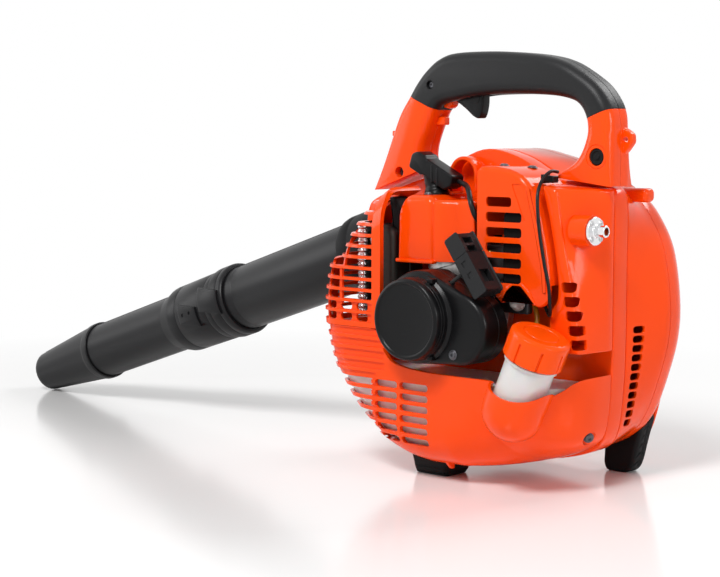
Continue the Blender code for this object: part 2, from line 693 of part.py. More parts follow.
def build_engine_shroud():
    shroud = loft("engine_shroud",
                  [shroud_ring(-44, 2.5, 0), shroud_ring(-41, 0, 0), shroud_ring(-8, 0, 1),
                   shroud_ring(-0.6, 0, 1)],
                  orange())
    room = loft("shroud_room",
                [shroud_ring(-41.5, 4.5, 0), shroud_ring(-39, 2.6, 0), shroud_ring(-8, 2.6, 1),
                 shroud_ring(5, 2.6, 1)],
                cutter=True)
    holes = [((119 + 2.4 * k, -60, z), (130.5 + 2.4 * k, -34, z + 8.6))
             for k, z in enumerate(np.linspace(172.5, 124.5, 5))]
    spigot_at = Vector((142, -31, 224))
    cut(shroud, room)
    fuse(shroud, rod("spigot_boss", spigot_at - Vector((17, 0, 0)), spigot_at, 13.2, sides=20, cutter=True))
    cut(shroud, boxes("shroud_holes", holes))
    turned("flanged_spigot", [(3.4, 12.5), (5, 12.5), (5, 2.4), (12, 2.4), (12, 0), (3.4, 0)],
           spigot_at + Vector((GAP, 0, 0)), (1, 0, 0), steel(), 20)


def bowl_outline():
    """The lower body, seen from the engine side, with room above its rim to be cut away."""
    return (arc(FAN_CENTRE, 133.5, 172, 268, 14)
            + [(30, 14.6), (62, 17.6), (96, 25), (120, 34), (134, 46), (139, 66), (141, 95), (141, 150),
               (90, 158), (30, 160), (-30, 162), (-90, 163)])


def bowl_edge(outline, small, large):
    """The near edge's radius at each corner: small at the muffler end, large round the fuel neck."""
    return [small + (large - small) * min(max((x - 30) / 60, 0), 1) for x, _ in outline]


RIM = [(-160, 131), (-58, 131), (-52, 124), (-47, 112), (-38, 103), (-20, 99), (5, 97.2), (72, 97),
       (80, 92.5), (94, 87), (108, 84), (120, 85), (129, 91), (135, 99), (160, 105.5), (160, 190),
       (-160, 190)]


def capsule(name, radius, start, end, cutter=True):
    """A bar along the neck's axis with a round lower end."""
    length = end - start
    profile = [(0, length), (radius, length), (radius, 0)]
    profile += [(radius * cos(radians(a)), -radius * sin(radians(a))) for a in (22, 45, 68)] + [(0, -radius)]
    return turned(name, profile, on_neck(start), NECK_AXIS, None, 24, cutter)


def build_lower_body():
    outline = bowl_outline()
    shroud = plate("tank_shroud", outline, SHROUD_NEAR_Y, -GAP * 2, orange(), near=bowl_edge(outline, 32, 66),
                   steps=4, centre=FAN_CENTRE)
    fuse(shroud, capsule("neck_bulge", 27.5, -18, 40))
    inner = inset(outline, 2.4, FAN_CENTRE)
    slots = [
        ((x0, -120, z), (x1, y1, z + 6.2))
        for z in np.linspace(31.5, 80, 6)
        for x0, x1, y1 in ((-150, -60, -12), (-55, 3, -40))
    ]
    cut(shroud,
        plate("bowl_room", inner, SHROUD_NEAR_Y + 2.4, 5, near=bowl_edge(inner, 29.6, 63.6), steps=4,
              cutter=True, centre=FAN_CENTRE),
        capsule("neck_room", 25.1, -18, 60),
        plate("above_rim", RIM, -130, 20, cutter=True),
        boxes("bowl_slots", slots))

    skin = inset(outline, 5.9, FAN_CENTRE)
    tank = plate("fuel_tank", skin, SHROUD_NEAR_Y + 5.4, -4, milky(), near=bowl_edge(skin, 27, 60.6), steps=4,
                 centre=FAN_CENTRE)
    space = inset(outline, 8.3, FAN_CENTRE)
    space_cutter = plate("tank_space", space, SHROUD_NEAR_Y + 7.8, -6.4, near=bowl_edge(space, 25, 58),
                         steps=4, cutter=True, centre=FAN_CENTRE)
    cut(space_cutter, box("above_space", (-200, -150, 89.5), (200, 50, 260), cutter=True))
    cut(tank, box("above_tank", (-200, -150, 92), (200, 50, 260), cutter=True))
    fuse(tank, rod("neck_stem", on_neck(-14), on_neck(43), 21.5, sides=24, cutter=True))
    cut(tank, space_cutter, rod("neck_bore", on_neck(-8), on_neck(60), 19, sides=24, cutter=True))
    turned("fuel_cap", [(0, 25), (24, 25), (26, 23), (26, 0), (22, 0), (22, 15), (0, 15)], on_neck(29.5),
           NECK_AXIS, orange(), 28)
    cord("fuel_line", [(90, -40, 92.6), (90, -40, 108), (90, -39, 130), (88.5, -36, 150), (80, -32, 161),
                       (68, -31, 164), (59, -31, 167), (54.3, -31, 172), (54, -31, 177.6)],
         2.2, material("amber_tube", (0.75, 0.42, 0.05), 0.3), 6)


def build_muffler_guard():
    outline = (arc(FAN_CENTRE, 124, 105, 159, 9) + arc(FAN_CENTRE, 135, 160.5, 215, 8)
               + [(-40, 60), (20, 60), (20, 280)])
    guard = plate("muffler_guard", outline, SHROUD_NEAR_Y, -GAP * 2, orange(), near=32, steps=4,
                  centre=FAN_CENTRE)
    keep(guard, box("guard_zone", (-160, -100, 131 + GAP), (-51, 10, 257), cutter=True))
    bars = [
        ((x0, y0, z), (x1, y1, z + 6.4))
        for z in np.linspace(136, 244, 12)
        for x0, x1, y0, y1 in ((-150, -124, -49, -13), (-119, -62, -95, -40))
    ]
    cut(guard,
        plate("muffler_room", inset(outline, 2.6, FAN_CENTRE), SHROUD_NEAR_Y + 2.6, 5, near=29.4, steps=4,
              cutter=True, centre=FAN_CENTRE),
        box("handle_foot_room", (-140, -18, 238), (-40, 5, 280), cutter=True),
        boxes("guard_bars", bars))


# ---------------------------------------------------------------- handle

OUTER_EDGE = [(-94, 304), (-85.5, 322), (-74, 338), (-66, 349), (-55.5, 360), (-41, 370), (-22, 375),
              (19, 375.6), (54, 373.4), (77, 370.5), (92, 366.8), (106.5, 360.6), (128, 347),
              (140, 333.5), (145.5, 321), (147, 304)]
INNER_EDGE = [(97, 270.5), (106, 277), (114, 287), (119, 298), (121, 308), (119, 319), (113, 328), (104, 333),
              (86, 336.5), (58, 338), (30, 338), (8, 337), (-20, 333.2), (-36, 330), (-44, 324),
              (-49.5, 314), (-54.5, 303), (-58.5, 292), (-60, 281), (-60, 269.5)]


# The front leg's foot reaches down behind the muffler guard, on the engine side of the fan case
FOOT_SKIRT = [(-113, 251), (-108, 239), (-62, 239), (-61, 275), (-96, 275)]


def handle_outline():
    """Both legs and the bar between them, anticlockwise. The feet stand just above the case."""
    front_foot, rear_foot = [(-116, 248.3)], [(92, 266.8), (122, 263.4), (147, 260.4)]
    return front_foot + list(reversed(INNER_EDGE)) + rear_foot + list(reversed(OUTER_EDGE))


def hole_along_y(name, place, low, high, radius, sides):
    x, z = place
    return rod(name, (x, low, z), (x, high, z), radius, sides=sides, cutter=True)


def build_handle():
    ring = handle_outline()
    zone = [(-84.5, 342.5), (-44, 325), (-30, 300), (100, 300), (120.2, 316), (149, 327), (160, 360),
            (100, 400), (-100, 400)]
    pocket = box("trigger_pocket", (-43, -6.2, 305), (24, 6.2, 353), cutter=True)
    pin_hole = hole_along_y("trigger_pin_hole", TRIGGER_PIVOT, -12.3, 12.3, 2.3, 12)
    spring_room = hole_along_y("spring_room", TRIGGER_PIVOT, 5, 11, 4.6, 14)
    mount_hole = hole_along_y("mount_hole", MOUNT_AT, -25, -7, 7.4, 16)
    foot_screw_hole = hole_along_y("foot_screw_hole", (-83, 268), -25, -9, 5, 14)
    grip_screw_hole = hole_along_y("grip_screw_hole", (-47, 347), -25, -11, 4, 14)
    for side, name in ((-1, "left"), (1, "right")):
        near, far = (-HANDLE_HALF, -GAP / 2) if side < 0 else (GAP / 2, HANDLE_HALF)
        core_near, core_far = (-12.5, 5) if side < 0 else (-5, 12.5)
        room_near, room_far = (-12.8, 5) if side < 0 else (-5, 12.8)
        rounded = {"near" if side < 0 else "far": HANDLE_EDGE}
        core_rounded = {"near" if side < 0 else "far": 4}
        frame = plate(f"handle_frame_{name}", ring, near, far, orange(), **rounded, steps=2)
        around_core = plate(f"around_core_{name}", zone, -40, 40, cutter=True)
        cut(around_core, plate(f"handle_core_{name}", inset(ring, GRIP_WALL + GAP), core_near, core_far,
                               cutter=True, **core_rounded, steps=2))
        cut(frame, around_core)
        grip = plate(f"grip_{name}", ring, near, far, black(), **rounded, steps=2)
        keep(grip, plate(f"grip_share_{name}", inset(zone, GAP), -40, 40, cutter=True))
        cut(grip, plate(f"grip_room_{name}", inset(ring, GRIP_WALL), room_near, room_far, cutter=True,
                        **core_rounded, steps=2), pocket)
        cut(frame, pocket, pin_hole)
        if side < 0:
            fuse(frame, plate("front_foot_skirt", FOOT_SKIRT, -16.9, -GAP * 2, cutter=True))
            cut(frame, mount_hole, foot_screw_hole, grip_screw_hole)
            cut(grip, grip_screw_hole)
        else:
            cut(frame, spring_room)
            lug = [(141, 282), (150, 290), (155.5, 297), (155, 304), (150, 307.5), (141, 312)]
            fuse(frame, plate("strap_lug", lug, 4, 11, cutter=True))
            cut(frame, rod("lug_hole", (149, -5, 299.5), (149, 20, 299.5), 2.4, sides=14, cutter=True))
    turned("vibration_mount", [(0, 9), (6.2, 9), (7, 8), (7, 0), (0, 0)], (MOUNT_AT[0], -7.6, MOUNT_AT[1]),
           (0, -1, 0), rubber(), 16)


def build_trigger():
    x, z = TRIGGER_PIVOT
    outline = [(-28, 333.5), (-21.5, 329.5), (-14, 324.6), (-7.5, 319.2), (-3, 317), (0.5, 317), (3, 322),
               (4.6, 330), (4.6, 341), (-7, 348.8), (-20, 348.8), (-26, 343)]
    trigger = plate("throttle_trigger", outline, -5.5, 5.5, black(), near=2, far=2, steps=2)
    cut(trigger, rod("trigger_eye", (x, -9, z), (x, 9, z), 2.4, sides=12, cutter=True))
    pivot(trigger, (x, 0, z))
    rod("trigger_pin", (x, -12, z), (x, 12, z), 2, steel(), 12)
    turned("trigger_spring", [(4, 4), (4, 0), (2.6, 0), (2.6, 4)], (x, 6.4, z), (0, 1, 0), steel(), 14)
    wedge = [(-41, 327), (-35, 325.5), (-31, 328.5), (-31, 341), (-41, 341)]
    switch = plate("stop_switch", wedge, -5, 5, orange(), near=1.5, far=1.5, steps=1)
    pivot(switch, (-36, 0, 330))
    box("cable_clip", (91, -34, 263), (102, -25, 269), black())
    cord("throttle_cable",
         [(97, -20, 272), (97, -30, 272.5), (97.5, -41, 267), (99.5, -51, 257), (102, -55.2, 243),
          (105, -56, 222), (110, -56, 197), (114.5, -55.8, 178), (115, -54.6, 164), (112, -50, 154),
          (106, -43.5, 153),
          (100, -41, 160), (94, -41.2, 169), (86, -43, 173.3), (72, -45, 173.6), (60.5, -46, 174)],
         1.5, rubber(), 10)


# ---------------------------------------------------------------- feet

def build_feet():
    top = [(1, 13), (-9, 13.3), (-19, 14.3), (-29, 16.2), (-39, 18.8)]
    foot = [(-39, 6), (-36, 0), (-2, 0), (1, 4)] + top
    rounded = np.array([7, 7, 7, 7] + [0] * len(top), float)
    plate("front_foot", foot, -50, -14, rubber(), near=rounded, far=rounded, steps=3)
    tread = [(86, 0), (107, 0), (112, 4), (115.5, 12), (118.5, 24), (122, 38), (126, 52), (116, 58), (84, 34),
             (83, 6)]
    skid = plate("rear_skid", tread, 73.5, 94, rubber(), near=4, far=4, steps=2)
    envelope = case_rings(-GAP, CASE_SPLIT_Y, CASE_FAR_Y + GAP, CASE_EDGE_RADIUS)
    cut(skid, loft("case_envelope", envelope, cutter=True))


# ---------------------------------------------------------------- assembly

def stand_on_origin():
    """Move the whole part so that the middle of its base is the world origin."""
    bpy.context.view_layer.update()
    depsgraph = bpy.context.evaluated_depsgraph_get()
    low, high = np.full(3, np.inf), np.full(3, -np.inf)
    for made in collection.objects:
        if made.type == "EMPTY":
            continue
        evaluated = made.evaluated_get(depsgraph)
        mesh = evaluated.to_mesh()
        points = np.array([made.matrix_world @ vertex.co for vertex in mesh.vertices])
        evaluated.to_mesh_clear()
        low, high = np.minimum(low, points.min(axis=0)), np.maximum(high, points.max(axis=0))
    root.location = (-(low[0] + high[0]) / 2, -(low[1] + high[1]) / 2, -low[2])
    print("moved by", [round(value / MM, 3) for value in root.location])
    print("size", [round(float(value) / MM, 2) for value in high - low])


def main():
    build_fan_case()
    build_intake_guard()
    build_crankcase()
    build_crank()
    build_piston()
    build_cylinder()
    build_exhaust()
    build_intake_tract()
    build_starter()
    build_cylinder_cover()
    build_carburetor_cover()
    build_engine_shroud()
    build_lower_body()
    build_muffler_guard()
    build_handle()
    build_trigger()
    build_feet()
    build_tube()
    stand_on_origin()


for old in list(bpy.data.objects):
    bpy.data.objects.remove(old, do_unlink=True)
bpy.context.scene.collection.children.link(collection)
bpy.context.scene.collection.children.link(cutters)
root = bpy.data.objects.new("blower_root", None)
collection.objects.link(root)
main()
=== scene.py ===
"""Visual model of a hand-held petrol leaf blower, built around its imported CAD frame.

Lengths are millimetres in the blower's own frame, whose crank and fan axis runs along Y at x = 0 and z = 147,
with the floor at z = 0, the blow tube towards -X and the engine on the -Y side. `world` turns them into the
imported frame's metres.
"""

from __future__ import annotations

import json
import logging
import math
import sys
from dataclasses import dataclass, field
from enum import Enum

import bmesh
import bpy
import numpy as np
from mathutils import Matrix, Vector
from numpy.typing import ArrayLike, NDArray

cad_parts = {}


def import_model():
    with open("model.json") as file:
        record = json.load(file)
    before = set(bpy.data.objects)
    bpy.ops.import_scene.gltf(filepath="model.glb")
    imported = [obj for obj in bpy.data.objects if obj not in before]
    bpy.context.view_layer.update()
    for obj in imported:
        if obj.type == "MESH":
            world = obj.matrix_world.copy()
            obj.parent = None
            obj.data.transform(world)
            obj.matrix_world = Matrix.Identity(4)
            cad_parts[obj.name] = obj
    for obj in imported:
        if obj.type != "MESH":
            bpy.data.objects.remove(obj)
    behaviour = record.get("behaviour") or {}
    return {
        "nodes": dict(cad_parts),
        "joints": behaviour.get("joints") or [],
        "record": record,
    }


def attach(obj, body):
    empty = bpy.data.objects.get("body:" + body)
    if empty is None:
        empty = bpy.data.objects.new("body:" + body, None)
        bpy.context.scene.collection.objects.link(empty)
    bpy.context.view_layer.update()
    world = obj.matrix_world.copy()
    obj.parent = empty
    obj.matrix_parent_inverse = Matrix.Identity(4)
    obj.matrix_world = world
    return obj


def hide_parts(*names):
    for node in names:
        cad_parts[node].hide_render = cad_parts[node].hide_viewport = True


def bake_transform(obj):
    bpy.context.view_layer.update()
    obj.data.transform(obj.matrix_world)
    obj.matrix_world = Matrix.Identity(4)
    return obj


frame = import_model()

Array = NDArray[np.float64]
log = logging.getLogger("leaf_blower")

MM = 0.001
CRANK_Z = 147.0
FAN = np.array((0.0, CRANK_Z))
GAP = 0.3
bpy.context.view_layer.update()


def joint_place(name: str) -> Array:
    """A joint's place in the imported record, in metres."""
    return np.array(next(joint["pos_m"] for joint in frame["joints"] if joint["name"] == name))


ORIGIN = joint_place("crank_spin") - np.array((0.0, 0.0, CRANK_Z * MM))


def world(points: ArrayLike) -> Array:
    """Points of the blower's own frame, in millimetres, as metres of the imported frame."""
    return np.asarray(points, float) * MM + ORIGIN


# ------------------------------------------------------------------ outlines, as (n, 2) arrays


def arc(centre: ArrayLike, radius: float, start: float, end: float, count: int) -> Array:
    """Points centre + radius * (cos a, sin a), for count angles a from start to end degrees."""
    a = np.radians(np.linspace(start, end, count))
    return np.asarray(centre, float) + radius * np.stack([np.cos(a), np.sin(a)], axis=1)


def smooth_loop(controls: ArrayLike, per_span: int = 8) -> Array:
    """A closed Catmull-Rom curve through its control points.

    Args:
        controls: points of the loop, in any number of dimensions.
        per_span: points from one control to the next.

    Returns:
        the curve's points, without a repeat of the first.
    """
    p = np.asarray(controls, float)
    a, b, c, d = (np.roll(p, shift, axis=0)[:, None, :] for shift in (1, 0, -1, -2))
    t = (np.arange(per_span) / per_span)[None, :, None]
    curve = 0.5 * (2 * b + (c - a) * t + (2 * a - 5 * b + 4 * c - d) * t**2 + (3 * b - a - 3 * c + d) * t**3)
    return curve.reshape(-1, p.shape[1])


def smooth_path(controls: ArrayLike, per_span: int = 8) -> Array:
    """An open Catmull-Rom curve through its control points, whose ends run on straight.

    Args:
        controls: points of the path.
        per_span: points from one control to the next.

    Returns:
        the curve's points, from the first control to the last.
    """
    p = np.asarray(controls, float)
    p = np.vstack([2 * p[0] - p[1], p, 2 * p[-1] - p[-2]])
    a, b, c, d = (p[k : len(p) - 3 + k][:, None, :] for k in range(4))
    t = (np.arange(per_span) / per_span)[None, :, None]
    curve = 0.5 * (2 * b + (c - a) * t + (2 * a - 5 * b + 4 * c - d) * t**2 + (3 * b - a - 3 * c + d) * t**3)
    return np.vstack([curve.reshape(-1, p.shape[1]), p[-2]])


def filleted(corners: ArrayLike, radius: ArrayLike, count: int = 6) -> Array:
    """A polygon with round corners: each is a quadratic curve between points one radius before and after.

    Args:
        corners: the polygon's corners.
        radius: one reach, or one for each corner.
        count: points at each corner.

    Returns:
        the rounded outline.
    """
    p = np.asarray(corners, float)
    before, after = np.roll(p, 1, axis=0) - p, np.roll(p, -1, axis=0) - p
    length_before = np.linalg.norm(before, axis=1, keepdims=True)
    length_after = np.linalg.norm(after, axis=1, keepdims=True)
    reach = np.minimum(np.broadcast_to(radius, len(p))[:, None], 0.48 * np.minimum(length_before, length_after))
    start, end = p + before / length_before * reach, p + after / length_after * reach
    t = np.linspace(0, 1, count)[None, :, None]
    curve = (1 - t) ** 2 * start[:, None] + 2 * t * (1 - t) * p[:, None] + t**2 * end[:, None]
    return curve.reshape(-1, 2)


def dense(outline: ArrayLike, spacing: float) -> Array:
    """The same closed outline with points added along its long sides, at most one spacing apart."""
    p = np.asarray(outline, float)
    sides = np.roll(p, -1, axis=0) - p
    counts = np.maximum(1, np.ceil(np.linalg.norm(sides, axis=1) / spacing).astype(int))
    return np.vstack([a + side * (np.arange(n) / n)[:, None] for a, side, n in zip(p, sides, counts)])


def slot_outline(x0: float, z0: float, x1: float, z1: float, radius: float, count: int = 5) -> Array:
    """A rectangle with round corners."""
    r = min(radius, abs(x1 - x0) / 2, abs(z1 - z0) / 2)
    ends = ((x1 - r, z0 + r, -90), (x1 - r, z1 - r, 0), (x0 + r, z1 - r, 90), (x0 + r, z0 + r, 180))
    return np.vstack([arc((x, z), r, start, start + 90, count) for x, z, start in ends])


def inset(outline: Array, amount: ArrayLike, centre: ArrayLike | None = None) -> Array:
    """Each point moved inwards by its amount: along the mean of its sides' normals, or towards a centre.

    Args:
        outline: anticlockwise points.
        amount: one distance, or one for each point.
        centre: where set, the points move towards it.

    Returns:
        the moved points.
    """
    amount = np.broadcast_to(amount, len(outline))[:, None]
    if centre is not None:
        offset = outline - centre
        length = np.linalg.norm(offset, axis=1, keepdims=True)
        return centre + offset * np.maximum(length - amount, 1.0) / length
    ahead = np.roll(outline, -1, axis=0) - outline
    ahead /= np.maximum(np.linalg.norm(ahead, axis=1, keepdims=True), 1e-9)
    both = ahead + np.roll(ahead, 1, axis=0)
    inward = np.stack([-both[:, 1], both[:, 0]], axis=1)
    squared = np.maximum((inward**2).sum(axis=1, keepdims=True), 0.8)
    return outline + 2 * inward * amount / squared


def rounding(depth: ArrayLike, radius: ArrayLike) -> Array:
    """How far in a rounded edge stands at a depth behind its face: r - sqrt(r^2 - (r - depth)^2)."""
    left = np.maximum(np.asarray(radius, float) - depth, 0.0)
    return radius - np.sqrt(np.maximum(np.asarray(radius, float) ** 2 - left**2, 0.0))


def eased(value: ArrayLike, low: float, high: float) -> Array:
    """Zero below low, one above high, and 3 t^2 - 2 t^3 between them."""
    t = np.clip((np.asarray(value, float) - low) / (high - low), 0, 1)
    return t * t * (3 - 2 * t)


# ------------------------------------------------------------------ meshes


def emit(name: str, points: ArrayLike, faces: list[tuple[int, ...]], weld: bool = False) -> bpy.types.Object:
    """A mesh object at the world origin from points in the blower's frame, with its normals facing out.

    Args:
        name: the object's name.
        points: places in millimetres.
        faces: rows of point numbers.
        weld: joins points that lie on each other.

    Returns:
        the linked object.
    """
    data = bpy.data.meshes.new(name)
    data.from_pydata(world(points).tolist(), [], faces)
    build = bmesh.new()
    build.from_mesh(data)
    if weld:
        bmesh.ops.remove_doubles(build, verts=build.verts, dist=1e-6)
    bmesh.ops.recalc_face_normals(build, faces=build.faces)
    build.to_mesh(data)
    build.free()
    made = bpy.data.objects.new(name, data)
    bpy.context.scene.collection.objects.link(made)
    return made


def grid_faces(rows: int, columns: int, wrap_rows: bool = False) -> list[tuple[int, ...]]:
    """Quads between neighbouring rings of a grid whose columns wrap round.

    Args:
        rows, columns: the grid's size.
        wrap_rows: joins the last ring to the first too.

    Returns:
        the quads.
    """
    last = rows if wrap_rows else rows - 1
    i, j = np.meshgrid(np.arange(last), np.arange(columns), indexing="ij")
    k, l = (i + 1) % rows, (j + 1) % columns
    quads = np.stack([i * columns + j, i * columns + l, k * columns + l, k * columns + j], axis=-1)
    return [tuple(quad) for quad in quads.reshape(-1, 4).tolist()]


def skin(name: str, rings: Array) -> bpy.types.Object:
    """A closed surface over a stack of rings, (m, n, 3), with a flat face at each end.

    Args:
        name: the object's name.
        rings: the rings' points.

    Returns:
        the object.
    """
    rows, columns = rings.shape[:2]
    faces = grid_faces(rows, columns)
    faces.append(tuple(range(columns)))
    faces.append(tuple(range((rows - 1) * columns, rows * columns)))
    return emit(name, rings.reshape(-1, 3), faces)


class Way(Enum):
    """The direction that an outline is carried in, with the places of its two coordinates."""

    X = (1, 2, 0)
    Y = (0, 2, 1)
    Z = (0, 1, 2)


def placed(outline: Array, depth: float, way: Way) -> Array:
    """An outline as 3-D points, at one depth along its way."""
    points = np.full((len(outline), 3), float(depth))
    points[:, way.value[0]], points[:, way.value[1]] = outline[:, 0], outline[:, 1]
    return points


def plate(name: str, outline: Array, low: float, high: float, near: ArrayLike = 0.0, far: ArrayLike = 0.0,
          steps: int = 6, centre: ArrayLike | None = None, way: Way = Way.Y,
          lines: tuple[float, ...] = (), line: float = 0.45) -> bpy.types.Object:
    """An outline carried from low to high, its end edges rounded as quarter circles, with thin grooves round it.

    Args:
        name: the object's name.
        outline: anticlockwise points.
        low, high: the depths of its two end faces.
        near, far: radii of the edges at low and at high; an array gives each point its own.
        steps: rings to each rounded edge.
        centre: where set, edges round towards this point instead of along the outline's normals.
        way: the direction of the depth.
        lines: depths of grooves that run round the piece.
        line: how deep and wide a groove is.

    Returns:
        the object.
    """
    near_radius = np.broadcast_to(np.asarray(near, float), len(outline))
    far_radius = np.broadcast_to(np.asarray(far, float), len(outline))
    turns = 1 - np.cos(np.radians(np.linspace(0, 90, steps + 1)))
    depths = [low, high, *(low + near_radius.max() * turns), *(high - far_radius.max() * turns)]
    for place in lines:
        depths += [place - line, place - line / 3, place + line / 3, place + line]
    rings = []
    for depth in np.unique(np.round(depths, 5)):
        amount = rounding(depth - low, near_radius) + rounding(high - depth, far_radius)
        for place in lines:
            amount = amount + line * float(abs(depth - place) < line * 0.5)
        rings.append(placed(inset(outline, amount, centre), depth, way))
    return skin(name, np.array(rings))


def block(name: str, low: ArrayLike, high: ArrayLike, radius: float = 1.0, way: Way = Way.Y,
          steps: int = 4) -> bpy.types.Object:
    """A box between two corners with all its edges rounded."""
    a, b, c = way.value
    outline = slot_outline(low[a], low[b], high[a], high[b], radius)
    return plate(name, outline, low[c], high[c], near=radius * 0.8, far=radius * 0.8, steps=steps, way=way)


def basis(axis: ArrayLike) -> tuple[Array, Array, Array]:
    """Three unit vectors at right angles, the last along the axis."""
    w = np.asarray(axis, float) / np.linalg.norm(axis)
    u = np.cross((0.0, 1.0, 0.0) if abs(w[1]) < 0.9 else (0.0, 0.0, 1.0), w)
    u /= np.linalg.norm(u)
    return u, np.cross(w, u), w


def turned(name: str, profile: ArrayLike, at: ArrayLike, axis: ArrayLike, steps: int = 64,
           bump: Array | None = None) -> bpy.types.Object:
    """A profile of (radius, height) turned round an axis: at + r cos a u + r sin a v + h w.

    Args:
        profile: points from one end to the other; a loop closes on itself unless both ends are on the axis.
        at, axis: the zero height's place and the direction of height.
        steps: how many times the profile is repeated.
        bump: a radius added at each profile point and angle, shaped (points, steps).

    Returns:
        the object.
    """
    p = np.asarray(profile, float)
    u, v, w = basis(axis)
    a = np.linspace(0, 2 * math.pi, steps, endpoint=False)[None, :, None]
    radius = np.repeat(p[:, :1], steps, axis=1)
    if bump is not None:
        radius = np.maximum(radius + bump * (p[:, :1] > 0), 0.0)
    grid = np.asarray(at, float) + radius[..., None] * (np.cos(a) * u + np.sin(a) * v) + p[:, None, 1:] * w
    on_axis = p[0, 0] < 1e-9 and p[-1, 0] < 1e-9
    return emit(name, grid.reshape(-1, 3), grid_faces(len(p), steps, wrap_rows=not on_axis), weld=on_axis)


def rounded_profile(profile: ArrayLike, radius: float, count: int = 4) -> Array:
    """A turned profile that starts and ends on the axis, with its corners between them rounded.

    Args:
        profile: (radius, height) points.
        radius: the reach of each corner.
        count: points at each corner.

    Returns:
        the rounded profile.
    """
    p = np.asarray(profile, float)
    before, after = p[:-2] - p[1:-1], p[2:] - p[1:-1]
    lengths = np.linalg.norm(before, axis=1, keepdims=True), np.linalg.norm(after, axis=1, keepdims=True)
    reach = np.minimum(radius, 0.45 * np.minimum(*lengths))
    start, end = p[1:-1] + before / lengths[0] * reach, p[1:-1] + after / lengths[1] * reach
    t = np.linspace(0, 1, count)[None, :, None]
    curve = (1 - t) ** 2 * start[:, None] + 2 * t * (1 - t) * p[1:-1, None] + t**2 * end[:, None]
    return np.vstack([p[:1], curve.reshape(-1, 2), p[-1:]])


def rod(name: str, start: ArrayLike, end: ArrayLike, radius: float, steps: int = 32,
        tip: float | None = None) -> bpy.types.Object:
    """A round bar between two points, or a cone where it has a tip radius.

    Args:
        name: the object's name.
        start, end: the middles of its end faces.
        radius: its radius at the start.
        steps: its number of sides.
        tip: the radius at the end, where it differs.

    Returns:
        the object.
    """
    axis = np.asarray(end, float) - np.asarray(start, float)
    length = float(np.linalg.norm(axis))
    profile = [(0, 0), (radius, 0), (radius if tip is None else tip, length), (0, length)]
    return turned(name, profile, start, axis, steps)


def swept(name: str, path: ArrayLike, radius: ArrayLike, sides: int = 12) -> bpy.types.Object:
    """A round tube along a path: each ring stands square to the path and is turned as little as possible.

    Args:
        name: the object's name.
        path: points along the middle.
        radius: one radius, or one for each point.
        sides: points round each ring.

    Returns:
        the object.
    """
    p = np.asarray(path, float)
    ahead = np.gradient(p, axis=0)
    ahead /= np.linalg.norm(ahead, axis=1, keepdims=True)
    side = basis(ahead[0])[0]
    sides_of = []
    for direction in ahead:
        side = side - direction * (side @ direction)
        side /= np.linalg.norm(side)
        sides_of.append(side)
    u = np.array(sides_of)
    v = np.cross(ahead, u)
    a = np.linspace(0, 2 * math.pi, sides, endpoint=False)[None, :, None]
    r = np.broadcast_to(np.asarray(radius, float), len(p))[:, None, None]
    return skin(name, p[:, None] + r * (np.cos(a) * u[:, None] + np.sin(a) * v[:, None]))


def joined(name: str, pieces: list[bpy.types.Object]) -> bpy.types.Object:
    """Several objects' meshes as one object; the first ones are removed.

    Args:
        name: the new object's name.
        pieces: the objects to join.

    Returns:
        the new object.
    """
    build = bmesh.new()
    for piece in pieces:
        build.from_mesh(piece.data)
    data = bpy.data.meshes.new(name)
    build.to_mesh(data)
    build.free()
    for piece in pieces:
        bpy.data.objects.remove(piece)
    made = bpy.data.objects.new(name, data)
    bpy.context.scene.collection.objects.link(made)
    return made


class Op(Enum):
    """What a boolean does."""

    CUT = "DIFFERENCE"
    FUSE = "UNION"
    KEEP = "INTERSECT"


def shaped(target: bpy.types.Object, op: Op, *tools: bpy.types.Object) -> bpy.types.Object:
    """The target after each tool has cut it, been fused to it or kept what they share; the tools are removed.

    Args:
        target: the piece that is worked on.
        op: what the tools do.
        tools: closed objects.

    Returns:
        the target.
    """
    for tool in tools:
        modifier = target.modifiers.new(op.name, "BOOLEAN")
        modifier.operation, modifier.object, modifier.solver = op.value, tool, "EXACT"
    evaluated = target.evaluated_get(bpy.context.evaluated_depsgraph_get())
    data = bpy.data.meshes.new_from_object(evaluated)
    target.modifiers.clear()
    target.data = data
    for tool in tools:
        bpy.data.objects.remove(tool)
    if not data.polygons:
        log.warning("%s: nothing is left after %s", target.name, op.name)
    return target


# ------------------------------------------------------------------ finishes


def new_group(name: str, inputs: dict[str, tuple[str, float | tuple]], outputs: dict[str, str]) -> bpy.types.NodeTree:
    """An empty shader node group with its sockets.

    Args:
        name: the group's name.
        inputs: each input as (kind, default), by label.
        outputs: each output's kind, by label.

    Returns:
        the group.
    """
    group = bpy.data.node_groups.new(name, "ShaderNodeTree")
    for label, (kind, default) in inputs.items():
        socket = group.interface.new_socket(name=label, in_out="INPUT", socket_type=f"NodeSocket{kind}")
        socket.default_value = default
    for label, kind in outputs.items():
        group.interface.new_socket(name=label, in_out="OUTPUT", socket_type=f"NodeSocket{kind}")
    group.nodes.new("NodeGroupInput")
    group.nodes.new("NodeGroupOutput")
    return group


